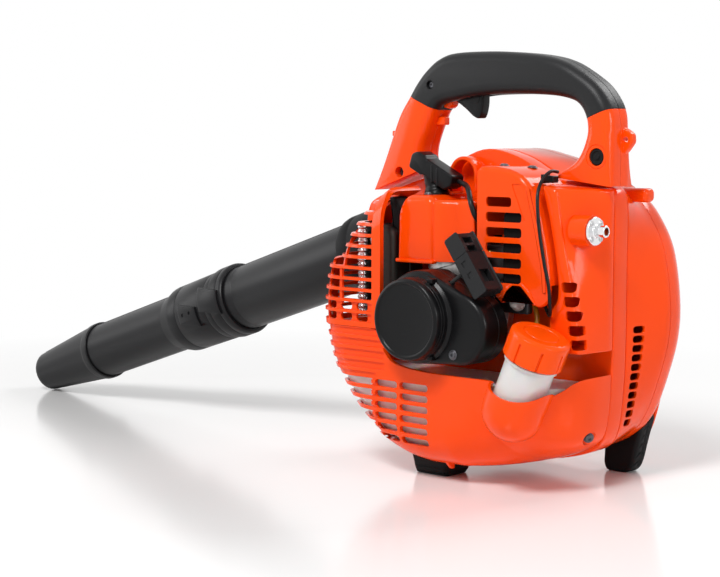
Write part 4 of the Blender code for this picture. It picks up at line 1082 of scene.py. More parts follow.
@dataclass
class LowerBody:
    """The orange bowl round the tank, the tank, its neck and cap, and the fuel line."""

    near: float = -80.0
    groove: float = 1.9
    wall: float = 2.2
    pitch: float = 9.7
    rib: float = 3.3
    screw: tuple[float, float, float] = (133.6, -21.5, 47.0)
    screw_axis: tuple[float, float, float] = (0.72, -0.62, -0.25)

    def outline(self, shrink: float = 0.0) -> Array:
        """The bowl seen from the engine side, drawn in towards the fan's axis by a distance."""
        bottom = smooth_path([(-4.7, 13.6), (30, 14.6), (62, 17.6), (96, 25), (120, 34), (134, 46), (139, 66),
                              (141, 95), (141, 150)], 6)
        top = np.array([(90, 158), (30, 160), (-30, 162), (-90, 163)], float)
        return inset(dense(np.vstack([arc(FAN, 133.5, 172, 267, 56), bottom, top]), 4.0), shrink, FAN)

    def edge(self, outline: Array, small: float, large: float) -> Array:
        """The near edge's radius at each point: small at the muffler end, large round the neck."""
        return small + (large - small) * np.clip((outline[:, 0] - 30) / 60, 0, 1)

    def shell(self, name: str, shrink: float, back: float = -2 * GAP, steps: int = 12) -> bpy.types.Object:
        """The bowl as a solid, shrunk by a distance."""
        outline = self.outline(shrink)
        return plate(name, outline, self.near + shrink, back, self.edge(outline, 32 - shrink, 66 - shrink),
                     1.6 if back < 0 else 0.0, steps, FAN)

    def capsule(self, name: str, radius: float, start: float, end: float) -> bpy.types.Object:
        """A bar along the neck's axis with a round lower end."""
        down = np.radians(np.linspace(8, 82, 9))
        profile = [(0, end - start), (radius, end - start), (radius, 0),
                   *np.stack([radius * np.cos(down), -radius * np.sin(down)], axis=1), (0, -radius)]
        return turned(name, profile, on_neck(start), NECK_AXIS, 72)

    def build(self) -> None:
        """Builds the bowl, the tank, the cap and the line."""
        self.bowl()
        self.tank()
        self.cap()
        self.line()

    def bowl(self) -> None:
        """The bowl: ribs stand on its muffler end, and slots show the tank."""
        bowl = self.shell("lower_body", 0)
        heights = np.arange(27.0, 131.0, self.pitch)
        grooves = [block(f"groove_{k}", (-170, -110, z), (-56 if z < 86 else -46, 12, z + self.pitch - self.rib), 0.8)
                   for k, z in enumerate(heights)]
        shaped(bowl, Op.CUT, joined("rib_grooves", grooves))
        shaped(bowl, Op.FUSE, self.shell("bowl_core", self.groove), self.capsule("neck_bulge", 27.5, -18, 40))
        slots = [(x0, z, x1, z + 6.2) for z in np.linspace(31.5, 80, 6) for x0, x1 in ((-57, -31), (-28, 4))]
        side = [plate(f"side_slot_{k}", slot_outline(-150, z, -61, z + 6.2, 2.4), -120, -12)
                for k, z in enumerate(np.linspace(31.5, 80, 6))]
        shaped(bowl, Op.CUT, self.shell("bowl_room", self.groove + self.wall, 5, 8),
               self.capsule("neck_room", 25.1, -18, 60),
               plate("above_rim", filleted(RIM, 7, 6), -130, 20),
               slots_along_y("front_slots", slots, -120, -40, 2.9), joined("side_slots", side))
        seat, out = np.array(self.screw), basis(self.screw_axis)[2]
        shaped(bowl, Op.CUT, rod("screw_recess", seat - 3.2 * out, seat + 20 * out, 6.6, 48))
        settle(bowl, Finishes.ORANGE, "orange_case", "tank_shroud")
        settle(self.fin(), Finishes.ORANGE, "orange_case")
        Screw(3.4, 2.4, 1.8).place("bowl_screw", seat - 3.1 * out, out)

    def fin(self) -> bpy.types.Object:
        """The small upright fin under the bowl, in front of the engine's foot."""
        outline = filleted([(-55, 10.4), (-50.8, 10.4), (-50.8, 26), (-76, 36), (-74, 30)], 1.0, 4)
        return plate("bowl_fin", outline, 8.4, 11.8, 0.8, 0.8, 3, way=Way.X)

    def tank(self) -> None:
        """The milky tank inside the bowl, with its neck."""
        tank = self.shell("milky_tank", 5.9, -4)
        hollow = self.shell("tank_space", 8.3, -6.4, 8)
        shaped(hollow, Op.CUT, block("above_space", (-200, -150, 89.5), (200, 50, 260), 0.5))
        shaped(tank, Op.CUT, block("above_tank", (-200, -150, 92), (200, 50, 260), 0.5), hollow)
        shaped(tank, Op.FUSE, rod("neck_stem", on_neck(-14), on_neck(43), 21.5, 64),
               turned("neck_ring", [(0, 0), (23.2, 0), (23.2, 2.4), (0, 2.4)], on_neck(25.6), NECK_AXIS, 64))
        shaped(tank, Op.CUT, rod("neck_bore", on_neck(-8), on_neck(60), 19, 64))
        settle(tank, Finishes.TANK, "tank_plastic", "fuel_tank")

    def cap(self) -> None:
        """The cap: a rounded top with a raised ring, and a skirt with grooves, worked out as r(angle)."""
        steps = 384
        profile = rounded_profile([(0, 24.6), (14.2, 24.6), (14.6, 23.9), (15.4, 23.9), (15.8, 24.7), (22.4, 24.5),
                                   (25.6, 22.6), (26, 20), (26, 18), (26, 17.2), (26, 1), (25.4, 0), (22, 0), (22, 15),
                                   (0, 15)], 0.8, 5)
        angle = np.linspace(0, 2 * np.pi, steps, endpoint=False)
        dip = -1.6 * np.clip((np.cos(8 * angle) - 0.95) / 0.04, 0, 1)[None, :]
        low_on_skirt = ((profile[:, 0] > 24.9) & (profile[:, 1] < 17.5)).astype(float)[:, None]
        cap = turned("fuel_cap_detailed", profile, on_neck(29.5), NECK_AXIS, steps, bump=dip * low_on_skirt)
        settle(cap, Finishes.CAP, "orange_cap", "fuel_cap", body="cap")

    def line(self) -> None:
        """The amber fuel line from the tank up to the carburettor."""
        route = [(90, -40, 92.6), (90, -40, 108), (90, -39, 130), (88.5, -36, 150), (80, -32, 161), (68, -31, 164),
                 (59, -31, 167), (54.3, -31, 172), (54, -31, 177.6)]
        settle(swept("fuel_hose", smooth_path(route, 8), 2.2, 16), Finishes.AMBER, "fuel_hose", "fuel_line")


# ------------------------------------------------------------------ muffler and its guard


@dataclass
class MufflerGuard:
    """The louvred orange guard, and the muffler behind it."""

    near: float = -80.0
    groove: float = 2.4
    wall: float = 2.4
    first: float = 136.0
    last: float = 244.0
    rows: int = 12
    open: float = 7.3

    def outline(self, shrink: float = 0.0) -> Array:
        """Two arcs about the fan's axis, closed on the engine's side."""
        left = np.vstack([arc(FAN, 124, 105, 159, 30), arc(FAN, 135, 160.5, 215, 30)])
        return inset(dense(np.vstack([left, [(-40, 60), (20, 60), (20, 280)]]), 5.0), shrink, FAN)

    def shell(self, name: str, shrink: float, back: float = -2 * GAP, steps: int = 12) -> bpy.types.Object:
        """The guard's whole form as a solid, shrunk by a distance."""
        return plate(name, self.outline(shrink), self.near + shrink, back, 32 - shrink, 0.0, steps, FAN)

    def build(self) -> None:
        """Ribs on the outside by cutting grooves down to a smaller core, then openings through the wall."""
        heights = np.linspace(self.first, self.last, self.rows)
        guard = self.shell("louvred_guard", 0)
        grooves = [block(f"guard_groove_{k}", (-170, -110, z), (-61, 12, z + self.open), 0.9)
                   for k, z in enumerate(heights)]
        shaped(guard, Op.CUT, joined("guard_grooves", grooves))
        shaped(guard, Op.FUSE, self.shell("guard_core", self.groove))
        shaped(guard, Op.KEEP, plate("guard_zone", filleted([(-170, 131.3), (-51, 131.3), (-51, 248), (-60, 257),
                                                             (-170, 257)], 5), -110, 10))
        front = slots_along_y("front_bars", [(-119, z + 0.2, -62, z + self.open - 0.2) for z in heights[2:]],
                              -95, -40, 2.6)
        low = slots_along_y("low_bars", [(x, z + 0.2, x + 13.5, z + self.open - 0.2) for z in heights[:2]
                                         for x in (-119, -100, -81)], -95, -40, 2.6)
        side = slots_along_y("side_bars", [(-150, z + 0.2, -124, z + self.open - 0.2) for z in heights], -49, -13, 2.6)
        shaped(guard, Op.CUT, self.shell("muffler_room", self.groove + self.wall, 5, 8), front, low, side,
               block("foot_room", (-140, -18, 238), (-40, 5, 280), 1.0))
        shaped(guard, Op.FUSE, self.upright())
        settle(guard, Finishes.ORANGE, "orange_case", "muffler_guard")
        self.muffler()
        self.gap_shade_and_pipe()

    def upright(self) -> bpy.types.Object:
        """The vertical rib across the louvres: a thin slice of the guard's wall."""
        rib = self.shell("guard_rib", self.groove - 0.4)
        shaped(rib, Op.CUT, self.shell("rib_room", self.groove + self.wall, 5, 8))
        return shaped(rib, Op.KEEP, block("rib_zone", (-101.2, -110, 150), (-98.2, -40, 250), 0.4))

    def gap_shade_and_pipe(self) -> None:
        """A black strip that paints the shade in the gap between the louvres and the cylinder's cover, and the ribbed
        pipe beside it.
        """
        strip = filleted([(-62.5, 196), (-56, 192), (-54.5, 236), (-60, 247), (-67, 247), (-64, 232)], 2.5, 5)
        # painted shade: this dark strip stands in for the shade in the gap between the louvres and the cylinder's cover
        settle(plate("painted_gap_shade", strip, -50, -30, 2, 2, 4), Finishes.RUBBER, "black_rubber")
        height = np.linspace(0, 84, 169)
        radius = 4.3 + 0.45 * np.cos(2 * np.pi * height / 4.2)
        profile = [(0, 0), *np.stack([radius, height], axis=1), (0, 84)]
        settle(turned("ribbed_pipe", profile, (-86, -63.5, 140), (0, 0, 1), 32), Finishes.STEEL, "muffler_steel")

    def muffler(self) -> None:
        """A pressed steel box with a seam round it, a heat plate and bolts."""
        box = plate("muffler_box", slot_outline(-98, 140, -54, 222, 12, 8), -58, -14, 6, 6, 6, lines=(-36.0,), line=1.0)
        inlet = rod("muffler_inlet", (-60, -30, 201), (-39.8, -30, 201), 10, 48)
        flange = block("inlet_flange", (-45.5, -43, 190), (-41.5, -17, 212), 1.5, Way.X)
        shaped(box, Op.FUSE, inlet, flange)
        settle(box, Finishes.MUFFLER, "muffler_steel", "muffler")
        for k, z in enumerate((152, 208)):
            Screw(4.2, 2.6, 2.0).place(f"muffler_bolt_{k}", (-76, -58, z), (0, -1, 0), Finishes.STEEL)


# ------------------------------------------------------------------ covers on the engine side


@dataclass
class EngineCovers:
    """The cylinder's cover, the carburettor's cover and the rear shroud with its spigot."""

    front: float = -52.0
    wall: float = 2.2
    spigot: tuple[float, float, float] = (142.0, -31.0, 224.0)

    def build(self) -> None:
        """Builds the three covers and what is fixed to them."""
        self.cylinder_cover()
        self.carburetor_cover()
        self.rear_shroud()
        self.spigot_parts()

    def wing(self, name: str, shrink: float, low: float, high: float, soft: float) -> bpy.types.Object:
        """The stretch that runs back to the carburettor's cover."""
        front = [(-20, -57), (-3, -57), (13, -46.8), (28 + shrink, -46.8)]
        outline = [(x, y + shrink) for x, y in front] + [(28 + shrink, -3.6 + 3 * shrink), (-20, -3.6 + 3 * shrink)]
        middle = np.array((4.0, -28.0))
        return plate(name, filleted(outline, [0.5, 6, 6, 1, 1, 0.5], 6), low, high, 0.0, soft, 5, middle, Way.Z)

    def cylinder_cover(self) -> None:
        """A box with a rounded, sloping top, a lip below it, and the wing beside it."""
        profile = filleted([(-49, 190), (-8, 190), (-8, 246), (-13, 250), (-40, 250), (-49, 236)],
                           [1, 1, 4, 4, 9, 12], 7)
        centre = np.array((-28.5, 220.0))
        self.plug_collar()
        cover = plate("cylinder_cover_box", profile, -60, -3, 7.0, 0.6, 10, centre)
        lip = block("cover_lip", (-50, -61, 190), (-7, -4, 193.4), 1.4, Way.Z)
        shaped(cover, Op.FUSE, self.wing("cover_wing", 0, 192, 246.2, 5), lip)
        plug = np.asarray(CYLINDER_FOOT)
        room = plate("cover_room", inset(profile, 2.4, centre), -57.8, 5, 4.6, 0, 5, centre)
        below = block("room_below", (-46.6, -57.6, 180), (-10.4, 5, 200), 2.0, Way.Z)
        shaped(cover, Op.CUT, room, below, self.wing("wing_room", 2.2, 180, 244.2, 3),
               rod("plug_hole", plug + CYLINDER_AXIS * 95, plug + CYLINDER_AXIS * 150, 12, 64),
               rod("exhaust_hole", (-70, -30, 201), (-30, -30, 201), 12, 48))
        settle(cover, Finishes.ORANGE, "orange_case", "cylinder_cover")
        Screw().place("cover_screw", (-28, -40, 250), (0, 0, 1))

    def plug_collar(self) -> None:
        """The arch that stands behind the plug's boot: half a tube along Y on two short legs."""
        outer, inner = arc((-8, 268), 15.5, -4, 184, 36), arc((-8, 268), 12.2, 184, -4, 36)
        arch = np.vstack([outer, [(-23.5, 252)], [(-20.2, 252)], inner, [(4.2, 252)], [(7.5, 252)]])
        settle(plate("plug_collar", arch, -17.5, -3.5, 0.9, 0.3, 4), Finishes.ORANGE, "orange_case")

    def cover_outline(self, shrink: float = 0.0) -> Array:
        """The carburettor cover's outline, its corners moved in by a distance and then rounded.

        Args:
            shrink: how far inwards the corners move.

        Returns:
            the outline.
        """
        corners = [(35.5, 171), (48, 169), (57, 165), (64, 160), (69, 170), (75, 175), (83, 175), (90, 168),
                   (96, 160), (104, 158.5), (111.5, 165), (112, 180), (108, 206), (100.5, 238), (93, 257),
                   (84, 268), (70, 274), (54, 276.5), (40, 276.5), (35.5, 272)]
        radii = [1, 3, 3, 4, 3, 3, 3, 3, 4, 4, 4, 7, 9, 9, 8, 7, 7, 6, 6, 1]
        return filleted(inset(np.array(corners, float), shrink), radii, 7)

    def carburetor_cover(self) -> None:
        """The slotted cover with its ridge, a sunk triangular panel and a thick border round the arch."""
        outline = self.cover_outline()
        soft = (1.6 + 3.6 * eased(outline[:, 1], 172, 190)) * eased(outline[:, 0], 36.6, 46)
        cover = plate("carburetor_cover_shell", outline, self.front, -3, soft, 0, 8)
        border = np.array([(57, 165), (64, 160), (69, 170), (75, 175), (83, 175), (90, 168), (96, 160), (99.5, 161),
                           (93, 171.5), (84.5, 178.6), (74, 178.8), (66.5, 173.4), (62.5, 167)], float)
        arch = plate("arch_border", filleted(border, 1.6, 4), self.front - 1.3, self.front + 6, 1.2, 0, 4)
        ridge = np.array([(88.6, 258), (90.4, 259), (100.6, 224), (107.5, 192), (109, 172), (106.8, 171.8),
                          (105, 192), (98.2, 223)], float)
        rib = plate("cover_ridge", filleted(ridge, 1.0, 4), self.front - 0.9, self.front + 6, 0.8, 0, 3)
        shaped(cover, Op.FUSE, arch, rib)
        rows = np.linspace(242.4, 177.4, 6)
        slots = [(45, z, 83 if row else 72, z + 8.2) for row, z in enumerate(rows)] + [(53, 168, 62, 173.5)]
        panel = plate("sunk_panel", filleted([(72, 262), (86, 230), (91, 246), (84, 262)], 3, 5), -60,
                      self.front + 0.7, 0, 0)
        room = plate("carburetor_room", self.cover_outline(self.wall), self.front + self.wall, 5)
        shaped(cover, Op.CUT, room, block("carburetor_gate", (30, -45.5, 178), (40, 0, 216), 1.0),
               block("arch_gate", (30, -48, 150), (112, 0, 178), 1.0), panel,
               slots_along_y("cover_slots", slots, -60, -40, 2.6))
        settle(cover, Finishes.ORANGE, "orange_case", "carburetor_cover")
        for name, at in (("deck_screw_a", (48, -30, 276.4)), ("deck_screw_b", (66, -14, 274.8))):
            Screw(3.2, 1.8, 1.5).place(name, at, (0.12, 0, 1))

    def ring(self, y: float, shrink: float, slant: float) -> Array:
        """The rear shroud's outline at one depth; its rear edge slants in towards the top on the near side.

        Args:
            y: the depth.
            shrink: how far inwards the corners move.
            slant: 0 at the front, 1 where the slant is full.

        Returns:
            the ring.
        """
        front = [(97, 261.5), (103.5, 240), (111, 206), (115, 180), (114.5, 165), (107, 156), (105, 121)]
        rear = [(x + (142 - x) * slant, z)
                for x, z in ((138, 121), (136, 140), (128, 180), (122, 205), (116, 235), (112.5, 258))]
        corners = inset(np.array(front + rear, float), shrink)
        return placed(filleted(corners, [3, 9, 9, 9, 5, 5, 2, 2, 9, 9, 9, 9, 3], 6), y, Way.Y)

    def shroud_solid(self, name: str, wall: float, back: float) -> bpy.types.Object:
        """The shroud's form, its rear face a hollow curve: slant grows as 1 - (1 - t)^1.7 from front to back.

        Args:
            name: the object's name.
            wall: how far inside the outer surface.
            back: the depth of its open side.

        Returns:
            the object.
        """
        front, rings = -44.0 + wall, []
        for step in np.linspace(0, 1, 5):
            rings.append(self.ring(front + 3 * step, wall + 2.5 * (1 - math.sqrt(1 - (1 - step) ** 2)), 0))
        for step in np.linspace(0, 1, 12)[1:]:
            rings.append(self.ring(front + 3 + (-8 - front - 3) * step, wall, step**0.8))
        soft = 1.4 if back < 0 else 0.0
        for turn in np.radians((0, 30, 60, 90)):
            rings.append(self.ring(back - soft * (1 - math.sin(turn)) - 1e-3, wall + soft * (1 - math.cos(turn)), 1))
        return skin(name, np.array(rings))

    def rear_shroud(self) -> None:
        """The shroud behind the carburettor, with its boss and five holes."""
        shroud = self.shroud_solid("rear_shroud", 0, -0.6)
        shaped(shroud, Op.CUT, self.shroud_solid("shroud_room", 2.4, 5))
        at = np.array(self.spigot)
        shaped(shroud, Op.FUSE, rod("spigot_boss", at - (17, 0, 0), at, 13.2, 64))
        holes = [(119 + 2.4 * k, z, 130.5 + 2.4 * k, z + 8.6) for k, z in enumerate(np.linspace(172.5, 124.5, 5))]
        shaped(shroud, Op.CUT, slots_along_y("shroud_holes", holes, -60, -34, 2.4))
        settle(shroud, Finishes.ORANGE, "orange_case", "engine_shroud")

    def spigot_parts(self) -> None:
        """The bright flange and its short tube, with four screws."""
        at = np.array(self.spigot)
        profile = [(3.4, 12.5), (4.6, 12.5), (5, 12.1), (5, 3.2), (5.8, 2.4), (11.6, 2.4), (12, 2.0), (12, 0), (3.4, 0)]
        settle(turned("spigot", profile, at + (GAP, 0, 0), (1, 0, 0), 72), Finishes.CHROME, "bright_spigot",
               "flanged_spigot")
        for k, (y, z) in enumerate(arc((at[1], at[2]), 9.2, 45, 315, 4)):
            Screw(1.3, 0.9, 0.6).place(f"flange_screw_{k}", (at[0] + 2.6, y, z), (1, 0, 0), Finishes.STEEL)


# ------------------------------------------------------------------ recoil starter


@dataclass
class Starter:
    """The black housing with its dished front, the rope and the pull handle."""

    front: float = -90.0
    middle: float = -79.0
    rope_from: tuple[float, float] = (34.8, 180.9)
    pull: tuple[float, float] = (0.821, 0.571)

    def outline(self, shrink: float) -> Array:
        """Two arcs: round the crank and round the rope's exit."""
        arcs = [arc((1, 146), 41 - shrink, 78, 262, 60), arc((43, 139), 31 - shrink, 262, 438, 48)]
        return dense(np.vstack(arcs), 3.0)

    def build(self) -> None:
        """Builds the housing, the handle and the rope."""
        self.housing()
        self.handle()
        self.rope()

    def housing(self) -> None:
        """A plate with rounded edges, a stepped collar and a drum whose front is dished inside a raised rim."""
        housing = plate("starter_shell", self.outline(0), self.front, -58, 5, 0.6, 7, lines=(-70.0,), line=0.5)
        drum = turned("starter_drum", [(0, 15.2), (24, 15.2), (30.6, 15.9), (31.4, 16.9), (32.2, 17.2), (33.6, 17.0),
                                       (34.8, 16.2), (35.4, 14.8), (35.7, 10.6), (35.1, 10.2), (35.7, 9.8), (36.0, 7.9),
                                       (35.4, 7.5), (36.2, 7.1), (36.6, 3.2), (39.2, 1.0), (39.2, -1), (0, -1)],
                      (0.5, self.front, CRANK_Z - 1.5), (0, -1, 0), 160)
        tabs = [block(f"drum_tab_{k}", (x - 3, self.front - 6.4, z - 2.2), (x + 3, self.front + 1, z + 2.2), 1.0)
                for k, (x, z) in enumerate(arc((0, CRANK_Z - 1), 38.2, 60, 300, 3))]
        shaped(housing, Op.FUSE, drum, *tabs)
        shaped(housing, Op.CUT, plate("starter_room", self.outline(2.6), self.front + 2.6, -50, 2.5, 0, 4),
               rod("rope_hole", (20.4, self.middle, 170.9), (45.1, self.middle, 188.1), 3, 32))
        shaped(housing, Op.FUSE, rod("pulley_post", (0, self.front + 1, CRANK_Z), (0, -64, CRANK_Z), 6, 32))
        settle(housing, Finishes.BLACK, "black_plastic", "starter_housing")
        Screw(3.2, 1.8, 1.6).place("starter_screw", (40.5, self.front, 117.3), (0, -1, 0))

    def frame_of_pull(self) -> tuple[Array, Array, Array]:
        """The handle's middle, the direction of the pull and the direction across it."""
        ahead = np.array((self.pull[0], 0.0, self.pull[1]))
        start = np.array((self.rope_from[0], self.middle, self.rope_from[1]))
        return start + 22.8 * ahead, ahead, np.array((ahead[2], 0.0, -ahead[0]))

    def handle(self) -> None:
        """The bar of the pull handle, with two windows, a recess, two sunk marks and a seam."""
        centre, ahead, across = self.frame_of_pull()
        bar = self.bar_block("pull_grip", (-28, 28), (-7, 7), (-11.5, 11.5), 1.6)
        windows = [self.bar_block(f"grip_window_{k}", (a, a + 5.5), (-9, 9), (-6.5, 5), 0.8)
                   for k, a in enumerate((-23.5, -15.5))]
        marks = [self.bar_block(f"grip_mark_{k}", (a, a + 5), (-2.5, 2.5), (-14, -10.8), 0.6)
                 for k, a in enumerate((-4, 7))]
        recess = self.bar_block("grip_recess", (8, 20), (2, 9), (-6.5, 6.5), 0.8)
        seams = [self.bar_block("grip_seam_side", (-9.6, -9), (-9, 9), (-13, -11.1), 0.1),
                 self.bar_block("grip_seam_top", (-9.6, -9), (6.6, 9), (-13, 13), 0.1)]
        shaped(bar, Op.CUT, *windows, *marks, recess, *seams)
        settle(bar, Finishes.GRIP, "black_plastic", "starter_handle", body="pull_handle")

    def bar_block(self, name: str, along: tuple[float, float], ahead_by: tuple[float, float],
                  deep: tuple[float, float], radius: float) -> bpy.types.Object:
        """A rounded block in the pull handle's own directions: along its bar, along the pull, and along Y.

        Args:
            name: the object's name.
            along, ahead_by, deep: its range in each direction.
            radius: of its edges.

        Returns:
            the object.
        """
        centre, ahead, across = self.frame_of_pull()
        corners = [(along[0], ahead_by[0]), (along[1], ahead_by[0]), (along[1], ahead_by[1]),
                   (along[0], ahead_by[1])]
        outline = np.array([(centre + a * across + b * ahead)[[0, 2]] for a, b in reversed(corners)])
        return plate(name, filleted(outline, radius, 5), self.middle + deep[0], self.middle + deep[1], radius * 0.8,
                     radius * 0.8, 4)

    def rope(self) -> None:
        """The rope from the pulley to the handle."""
        centre, ahead, _ = self.frame_of_pull()
        start = centre - 22.8 * ahead
        route = start + np.linspace(-9, 15.6, 40)[:, None] * ahead
        rope = swept("starter_cord", route, 1.8, 14)
        smooth(rope)
        rope.data.materials.append(Finishes.ROPE.made())
        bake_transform(rope)
        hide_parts("starter_rope")
        log.info("starter_cord: %d faces", len(rope.data.polygons))


# ------------------------------------------------------------------ handle and controls

OUTER_EDGE = [(-94, 304), (-85.5, 322), (-74, 338), (-66, 349), (-55.5, 360), (-41, 370), (-22, 375), (19, 375.6),
              (54, 373.4), (77, 370.5), (92, 366.8), (106.5, 360.6), (128, 347), (140, 333.5), (145.5, 321),
              (147, 304)]
INNER_EDGE = [(97, 270.5), (106, 277), (114, 287), (119, 298), (121, 308), (119, 319), (113, 328), (104, 333),
              (86, 336.5), (58, 338), (30, 338), (8, 337), (-20, 333.2), (-36, 330), (-44, 324), (-49.5, 314),
              (-54.5, 303), (-58.5, 292), (-60, 281), (-60, 269.5)]
FOOT_SKIRT = [(-113, 251), (-108, 239), (-62, 239), (-61, 275), (-96, 275)]
GRIP_ZONE = [(-84.5, 342.5), (-44, 325), (-30, 300), (100, 300), (120.2, 316), (149, 327), (160, 360), (100, 400),
             (-100, 400)]


@dataclass
class Handle:
    """The orange frame in two halves, the black grip over its top bar, and the fixings."""

    half: float = 17.0
    edge: float = 9.0
    grip_wall: float = 2.6
    mount: tuple[float, float] = (134.0, 285.0)

    def outline(self) -> Array:
        """Both legs and the bar between them, anticlockwise, each edge one smooth curve."""
        inner = smooth_path([(x, z) for x, z in reversed(INNER_EDGE)], 5)
        outer = smooth_path([(x, z) for x, z in reversed(OUTER_EDGE)], 5)
        feet = np.array([(92, 266.8), (122, 263.4), (147, 260.4)], float)
        return np.vstack([[(-113, 251)], inner, feet, outer])

    def kept_in(self, outline: Array, amount: float) -> Array:
        """An amount of rounding or inset at each point, which fades to nothing at the two feet."""
        return amount * eased(outline[:, 1], 268, 284)

    def half_solid(self, name: str, side: int) -> bpy.types.Object:
        """One half of the handle's form, its outer edge rounded.

        Args:
            name: the object's name.
            side: -1 for the near half, 1 for the far one.

        Returns:
            the object.
        """
        outline = self.outline()
        low, high = (-self.half, -GAP / 2) if side < 0 else (GAP / 2, self.half)
        outside, parting = self.kept_in(outline, self.edge), self.kept_in(outline, 0.4)
        near, far = (outside, parting) if side < 0 else (parting, outside)
        return plate(name, outline, low, high, near, far, 8)

    def core(self, name: str, side: int, shrink: float) -> bpy.types.Object:
        """The frame's narrower bar under the grip.

        Args:
            name: the object's name.
            side: -1 for the near half, 1 for the far one.
            shrink: how much thinner it is.

        Returns:
            the object.
        """
        low, high = (-12.8 + shrink, 5) if side < 0 else (-5, 12.8 - shrink)
        outline = self.outline()
        soft = self.kept_in(outline, 4.0)
        near, far = (soft, 0 * soft) if side < 0 else (0 * soft, soft)
        return plate(name, inset(outline, self.kept_in(outline, self.grip_wall + shrink)), low, high, near, far, 4)

    def build(self) -> None:
        """Builds both frame halves, both grips and the fixings."""
        for side, name in ((-1, "left"), (1, "right")):
            self.frame_half(name, side)
            self.grip(name, side)
        skirt = plate("foot_skirt", filleted(FOOT_SKIRT, 1.5, 4), -16.9, -0.6, 1.2, 0.4, 4)
        shaped(skirt, Op.CUT, rod("skirt_recess", (-83, -25, 268), (-83, -9, 268), 5.1, 40))
        settle(skirt, Finishes.ORANGE, "orange_case")
        self.fixings()

    def pocket(self, name: str) -> bpy.types.Object:
        """The room in which the trigger and the switch move."""
        return block(name, (-43, -6.2, 305), (24, 6.2, 353), 1.2)

    def frame_half(self, name: str, side: int) -> None:
        """The orange half: the whole form less the grip's zone, with the core left inside it.

        Args:
            name: left or right.
            side: -1 for the near half, 1 for the far one.
        """
        half = self.half_solid(f"handle_{name}", side)
        if side > 0:
            lug = filleted([(141, 282), (150, 290), (155.5, 297), (155, 304), (150, 307.5), (141, 312)], 2, 5)
            shaped(half, Op.FUSE, plate("strap_lug", lug, 4, 11, 1.2, 1.2, 4))
        zone = plate("grip_zone", dense(GRIP_ZONE, 8.0), -40, 40)
        shaped(zone, Op.CUT, self.core("kept_core", side, GAP))
        pin = rod("pin_hole", (-14, -12.3, 343.5), (-14, 12.3, 343.5), 2.3, 24)
        shaped(half, Op.CUT, zone, self.pocket("pocket"), pin)
        if side < 0:
            x, z = self.mount
            shaped(half, Op.CUT, rod("mount_hole", (x, -25, z), (x, -7, z), 7.4, 48),
                   rod("foot_recess", (-83, -25, 268), (-83, -9, 268), 5, 40),
                   turned("mount_ring_groove", [(9.6, 0), (10.4, 0), (10.4, 1.2), (9.6, 1.2)], (x, -16.6, z),
                          (0, -1, 0), 48))
        else:
            shaped(half, Op.CUT, rod("lug_hole", (149, -5, 299.5), (149, 20, 299.5), 2.4, 32),
                   rod("spring_room", (-14, 5, 343.5), (-14, 11, 343.5), 4.6, 32))
        settle(half, Finishes.ORANGE, "orange_case", f"handle_frame_{name}")

    def grip(self, name: str, side: int) -> None:
        """The black half over the bar: the whole form kept inside the zone, and hollow.

        Args:
            name: left or right.
            side: -1 for the near half, 1 for the far one.
        """
        grip = self.half_solid(f"grip_{name}_shell", side)
        shaped(grip, Op.KEEP, plate("grip_share", inset(dense(GRIP_ZONE, 8.0), GAP), -40, 40))
        shaped(grip, Op.CUT, self.core("grip_room", side, 0), self.pocket("grip_pocket"))
        if side < 0:
            shaped(grip, Op.CUT, rod("grip_recess", (-47, -25, 347), (-47, -11, 347), 4, 40))
        settle(grip, Finishes.GRIP, "grip_plastic", f"grip_{name}")

    def fixings(self) -> None:
        """The rear mount's plug, the screws, the two nubs and the clip on the rear foot."""
        x, z = self.mount
        profile = [(0, 9), (2.2, 9), (2.8, 8.2), (4.6, 8.2), (5.2, 9), (6.2, 9), (7, 8.2), (7, 0), (0, 0)]
        settle(turned("mount_plug", profile, (x, -7.6, z), (0, -1, 0), 64), Finishes.RUBBER, "black_rubber",
               "vibration_mount")
        Screw(2.7, 2.0, 1.5).place("grip_screw", (-47, -12.9, 347), (0, -1, 0))
        Screw(3.6, 2.2, 1.8).place("foot_screw", (-83, -9.2, 268), (0, -1, 0))
        nub = block("inner_nub", (-51, -4, 311), (-40.5, 4, 318.5), 1.4)
        settle(nub, Finishes.ORANGE, "orange_case")
        settle(block("outer_nub", (-103.5, -3.5, 300.5), (-92, 3.5, 305.5), 1.2), Finishes.ORANGE, "orange_case")
        clip = block("cable_holder", (91, -34, 263), (102, -25, 269), 1.4, Way.X)
        lip = block("holder_lip", (90, -35, 262.4), (92.4, -24, 270.2), 0.9, Way.X)
        settle(shaped(clip, Op.FUSE, lip), Finishes.BLACK, "black_plastic", "cable_clip")


